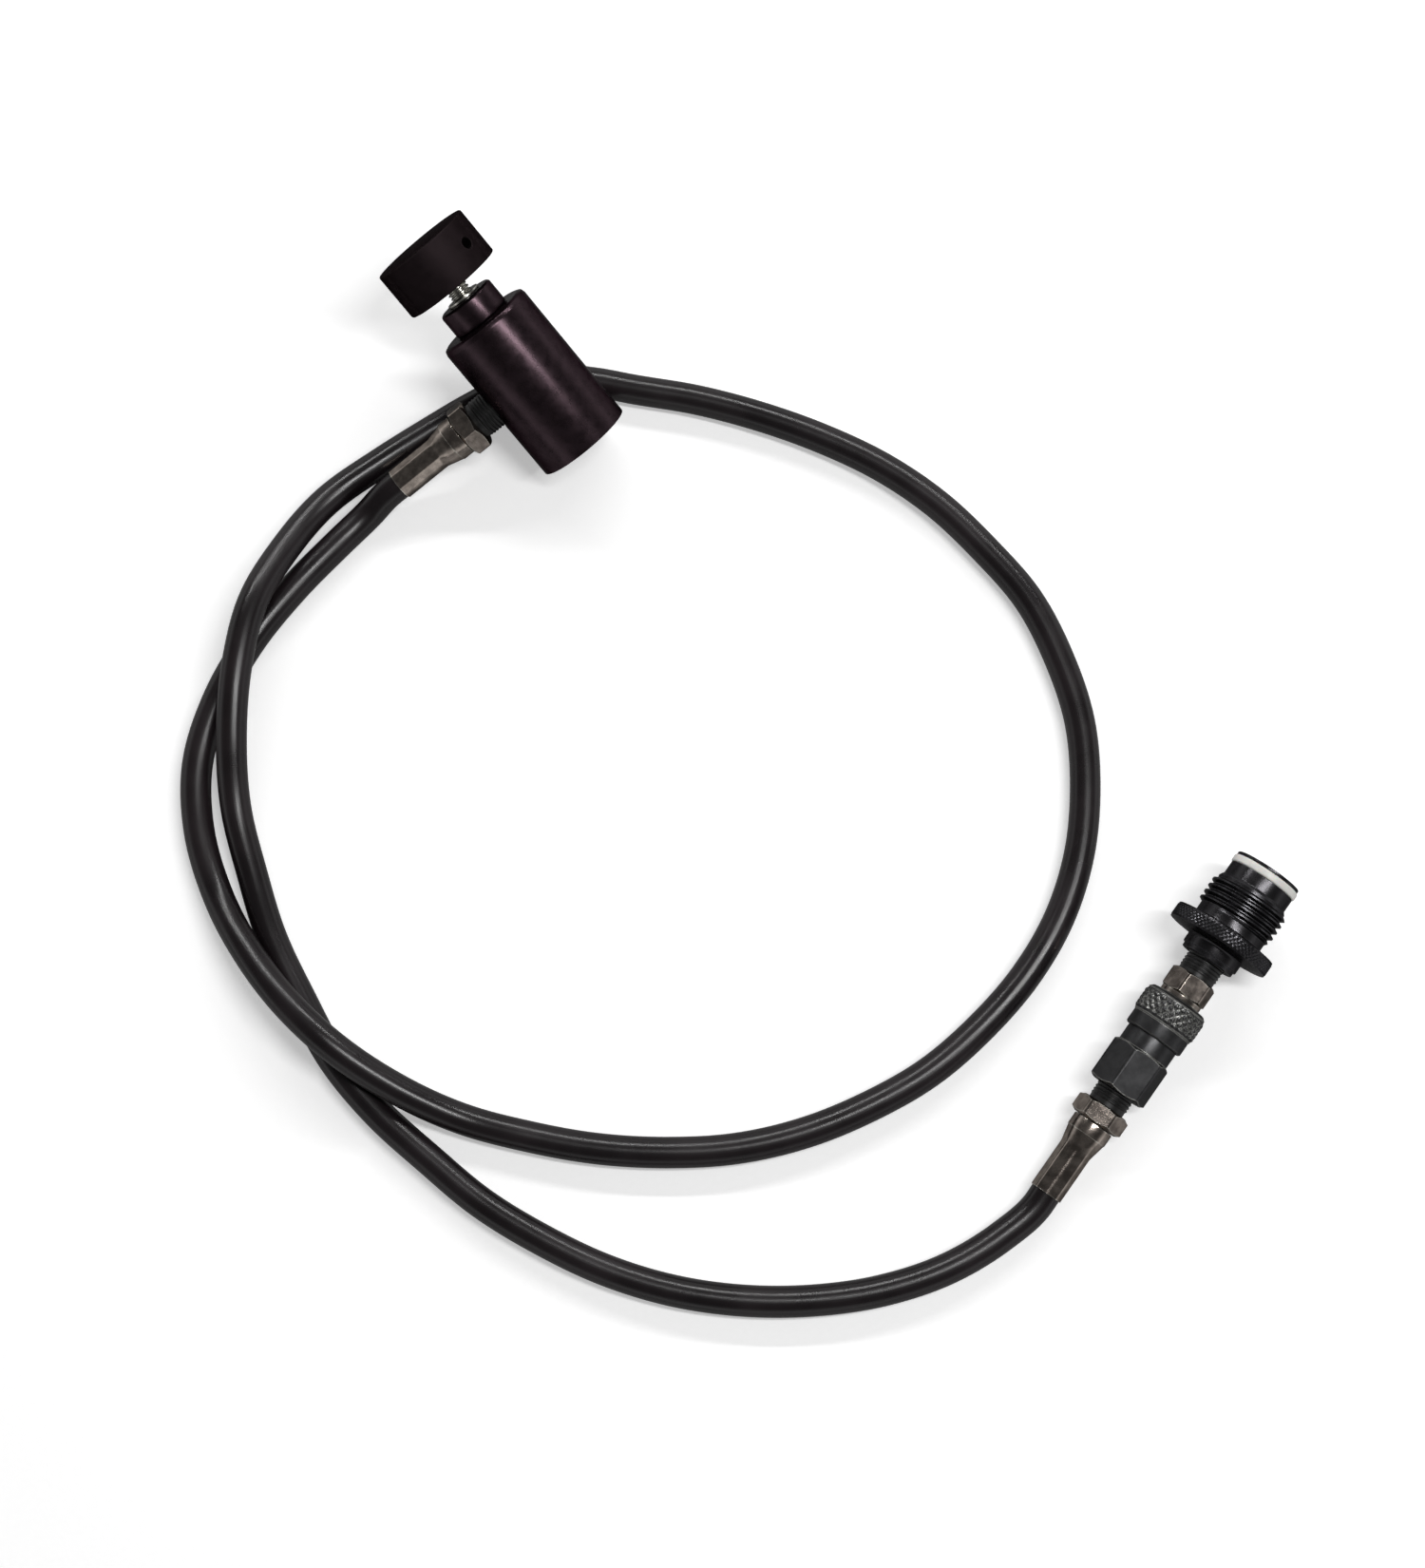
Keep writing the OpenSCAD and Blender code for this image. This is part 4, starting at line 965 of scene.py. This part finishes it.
class AIRLINE_OT_adapter(bpy.types.Operator):
    """Turns, threads and knurls the adapter, and moulds its seal ring"""
    bl_idname = "airline.adapter"
    bl_label = "Adapter"

    def execute(self, context):
        low, high, flange_r = PLUG.span("adapter_body")
        mount = named(frame["record"]["mounts"], "adapter_thread")
        crest = mount["dims"]["r_mm"]
        middle = PLUG.local(np.array(mount["pos_m"]) / MM)[2]
        thread_half = mount["dims"]["length_mm"] / 2 + 0.5
        thread_low, thread_high = middle - thread_half, middle + thread_half
        rim_low, rim_high, _ = PLUG.span("adapter_body", wider_than=flange_r - 0.01)
        ring_low, ring_high, ring_r = PLUG.span("adapter_seal_ring")
        count = round(TURN * flange_r / sizes().flange_knurl)
        angles = around(count * 4)
        nose_r = PLUG.radii("adapter_body", ring_high - 0.2, ring_high + 0.2)[1]
        boss_r = PLUG.radii("adapter_body", high - 1.25, high - 1.15)[1] + 0.3
        depth = sizes().bottle_depth
        groove_r, root_r, gas_r, socket_r = nose_r - 1.3, crest - depth, 2.0, 5.15
        socket_z, shoulder = high - 9.2, high - 1.2
        slope, groove_gap = 0.8, 0.03
        flange_low, flange_high = rim_low - slope, rim_high + slope
        blocks = [
            softened([
                (gas_r, low), (nose_r, low), (nose_r, ring_low), (groove_r, ring_low),
                (groove_r, ring_high), (nose_r, ring_high), (nose_r, thread_low - 1.0),
                (root_r, thread_low - 0.2)], 0.15),
            thread_rows(crest, depth, sizes().bottle_pitch, thread_low, thread_high, angles),
            softened([
                (root_r, thread_high + 0.05), (root_r, flange_low), (flange_r - 0.15, rim_low)], 0.1),
            knurl_rows(flange_r, 0.3, sizes().flange_knurl, rim_low, rim_high, angles, count),
            softened([
                (flange_r - 0.15, rim_high), (boss_r + 0.4, flange_high - 0.1),
                (boss_r, flange_high + 0.4), (boss_r, shoulder), (boss_r - 0.5, shoulder),
                (boss_r - 0.5, high), (socket_r, high), (socket_r, socket_z),
                (gas_r, socket_z), (gas_r, low)], 0.2),
        ]
        dress(turned_piece("adapter_threaded", PLUG, blocks, angles), "adapter_body")

        inner_r = groove_r + groove_gap
        ring = softened([
            (inner_r, ring_low), (ring_r, ring_low), (ring_r, ring_high), (inner_r, ring_high),
            (inner_r, ring_low)], 0.6, steps=6)
        dress(spun("seal_ring_moulded", PLUG, ring, around()), "adapter_seal_ring")
        return {"FINISHED"}


class AIRLINE_OT_plug(bpy.types.Operator):
    """Turns the quick-release plug, with its pipe thread, hex, collar and lock groove"""
    bl_idname = "airline.plug"
    bl_label = "Plug"

    def execute(self, context):
        angles = around(HEX_SEGMENTS)
        low, high, corner_r = PLUG.span("plug_nipple")
        hex_low, hex_high, _ = PLUG.span("plug_nipple", wider_than=5.8)
        thread_r = PLUG.radii("plug_nipple", low - 1, hex_low - 0.3)[1]
        bore_r, collar_r, shank_r, groove_r, nose_r = 1.8, 5.65, 5.0, 4.3, 3.9
        collar_high = hex_high + 1.2
        groove = [(shank_r, 2.5), (groove_r, 3.2), (groove_r, 4.7), (shank_r, 5.4)]
        blocks = pipe_thread(bore_r, thread_r, low, hex_low, 0.7, angles) + [
            hex_rows(corner_r, hex_low, hex_high, angles, COUPLER_CORNER, face_share=0.96),
            softened([
                (collar_r, hex_high), (collar_r, collar_high), (shank_r, collar_high),
                *[(r, hex_high + z) for r, z in groove],
                (shank_r, high - 7), (nose_r, high - 6), (nose_r, high), (bore_r, high),
                (bore_r, low)], 0.12),
        ]
        plug = dress(turned_piece("plug_turned", PLUG, blocks, angles), "plug_nipple")
        seal_thread(plug, PLUG, low, hex_low - 0.05)
        return {"FINISHED"}


class AIRLINE_OT_small_parts(bpy.types.Operator):
    """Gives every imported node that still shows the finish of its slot"""
    bl_idname = "airline.small_parts"
    bl_label = "Small parts"

    def execute(self, context):
        for node, packed in frame["nodes"].items():
            if packed.hide_render:
                continue
            packed.data.materials.clear()
            packed.data.materials.append(finish_for(slot_of(node)))
        return {"FINISHED"}


# ---- stage ----

CAMERA_PLACE = (-31.34, -172.74, 733.6)
CAMERA_AIM = (-31.34, -16.81, 0)
FRAME_HEIGHT = 1650             # pixels
FOCAL = 3052.5                  # focal length, in the same pixels
SENSOR = 36
FLOOR_HALF = 6000               # half of the floor's side
LAMPS = [                       # name, place, width and height in metres, and power in watts
    ("key_softbox", (0.36, -0.06, 1.08), 0.1, 0.62, 5.8),
    ("back_strip", (0.0, 0.98, 0.95), 1.6, 0.06, 9.0),
]


def set_up(name, data, place, aim):
    """Links a camera or lamp at its place, turned to its aim, with its top upwards."""
    thing = bpy.data.objects.new(name, data)
    bpy.context.scene.collection.objects.link(thing)
    thing.location = place
    thing.rotation_mode = "QUATERNION"
    thing.rotation_quaternion = (aim - place).to_track_quat("-Z", "Y")
    return thing


def add_camera():
    """A camera that looks down on the line at 78 degrees."""
    data = bpy.data.cameras.new("camera")
    data.sensor_width = SENSOR
    data.lens = SENSOR * FOCAL / FRAME_HEIGHT
    data.clip_start, data.clip_end = 0.01, 20
    bpy.context.scene.camera = set_up("camera", data, Vector(CAMERA_PLACE) * MM, Vector(CAMERA_AIM) * MM)


def add_lamp(name, place, wide, high, power):
    """A soft rectangular lamp that shines at the origin."""
    data = bpy.data.lights.new(name, "AREA")
    data.shape = "RECTANGLE"
    data.size, data.size_y = wide, high
    data.energy = power
    set_up(name, data, Vector(place), Vector((0, 0, 0)))


def paper_floor():
    """White paper sweep. To the camera it glows a little, so that it reads as plain white, and it
    still takes the line's shadow. Reflections see it at half its brightness, as if flagged off."""
    material, tree, shader = new_material("white_paper")
    grain = noise(tree, object_mm(tree), 0.8, 3.0)
    tone = mixed(tree, ramp(tree, grain, 0.2, 0.8), rgba(linear("#efefef")), rgba(linear("#f4f4f4")))
    rays = add(tree, "ShaderNodeLightPath")
    flagged = maths(tree, "MULTIPLY", rays.outputs["Is Glossy Ray"], 0.5)
    glow = maths(tree, "MULTIPLY", rays.outputs["Is Camera Ray"], 0.4)
    feed(tree, shader, {
        "Base Color": mixed(tree, flagged, tone, (0, 0, 0, 1)), "Roughness": 0.9,
        "Specular IOR Level": 0.1, "Emission Color": (1, 1, 1, 1), "Emission Strength": glow})
    return material


def white_room():
    """A pale room: white walls, and a dim ceiling, so that dark metal seen from above stays dark."""
    world = bpy.data.worlds.new("white_room")
    world.use_nodes = True
    tree = world.node_tree
    tree.nodes.clear()
    place = add(tree, "ShaderNodeTexCoord")
    height = add(tree, "ShaderNodeSeparateXYZ", None, {"Vector": place.outputs["Generated"]}).outputs["Z"]
    strength = ramp(tree, height, 0.05, 0.5, 0.8, 0.08)
    sky = add(tree, "ShaderNodeBackground", None, {"Color": (1, 1, 1, 1), "Strength": strength})
    add(tree, "ShaderNodeOutputWorld", None, {"Surface": sky.outputs["Background"]})
    bpy.context.scene.world = world


class AIRLINE_OT_stage(bpy.types.Operator):
    """Sets the camera, the paper floor, the lamps and the room"""
    bl_idname = "airline.stage"
    bl_label = "Stage"

    def execute(self, context):
        add_camera()
        corners = np.array([(-1, -1, 0), (1, -1, 0), (1, 1, 0), (-1, 1, 0)]) * FLOOR_HALF
        floor = new_piece("paper_floor", corners, np.array([[0, 1, 2, 3]]))
        floor.data.materials.append(paper_floor())
        for lamp in LAMPS:
            add_lamp(*lamp)
        white_room()
        context.scene.view_settings.view_transform = "Standard"
        return {"FINISHED"}


# ---- panel and registration ----

OPERATORS = [
    AIRLINE_OT_stage, AIRLINE_OT_hose, AIRLINE_OT_valve_body, AIRLINE_OT_bonnet, AIRLINE_OT_knob,
    AIRLINE_OT_hose_ends, AIRLINE_OT_coupler_body, AIRLINE_OT_sleeve, AIRLINE_OT_plug, AIRLINE_OT_adapter,
    AIRLINE_OT_small_parts,
]


class AIRLINE_PT_panel(bpy.types.Panel):
    """Lists the line's pieces and its finishes"""
    bl_idname = "AIRLINE_PT_panel"
    bl_label = "Remote Air Line"
    bl_space_type = "VIEW_3D"
    bl_region_type = "UI"
    bl_category = "Air Line"

    def draw(self, context):
        for operator in OPERATORS:
            self.layout.operator(operator.bl_idname)
        for group in (context.scene.air_line_finishes, context.scene.air_line_sizes):
            for key in group.bl_rna.properties.keys():
                if key not in ("rna_type", "name"):
                    self.layout.prop(group, key)


CLASSES = [AirLineFinishes, AirLineSizes, *OPERATORS, AIRLINE_PT_panel]


def register():
    for cls in CLASSES:
        bpy.utils.register_class(cls)
    bpy.types.Scene.air_line_finishes = bpy.props.PointerProperty(type=AirLineFinishes)
    bpy.types.Scene.air_line_sizes = bpy.props.PointerProperty(type=AirLineSizes)


def unregister():
    del bpy.types.Scene.air_line_sizes
    del bpy.types.Scene.air_line_finishes
    for cls in reversed(CLASSES):
        bpy.utils.unregister_class(cls)


def main():
    register()
    for operator in OPERATORS:
        group, name = operator.bl_idname.split(".")
        getattr(getattr(bpy.ops, group), name)()


if __name__ == "__main__":
    main()
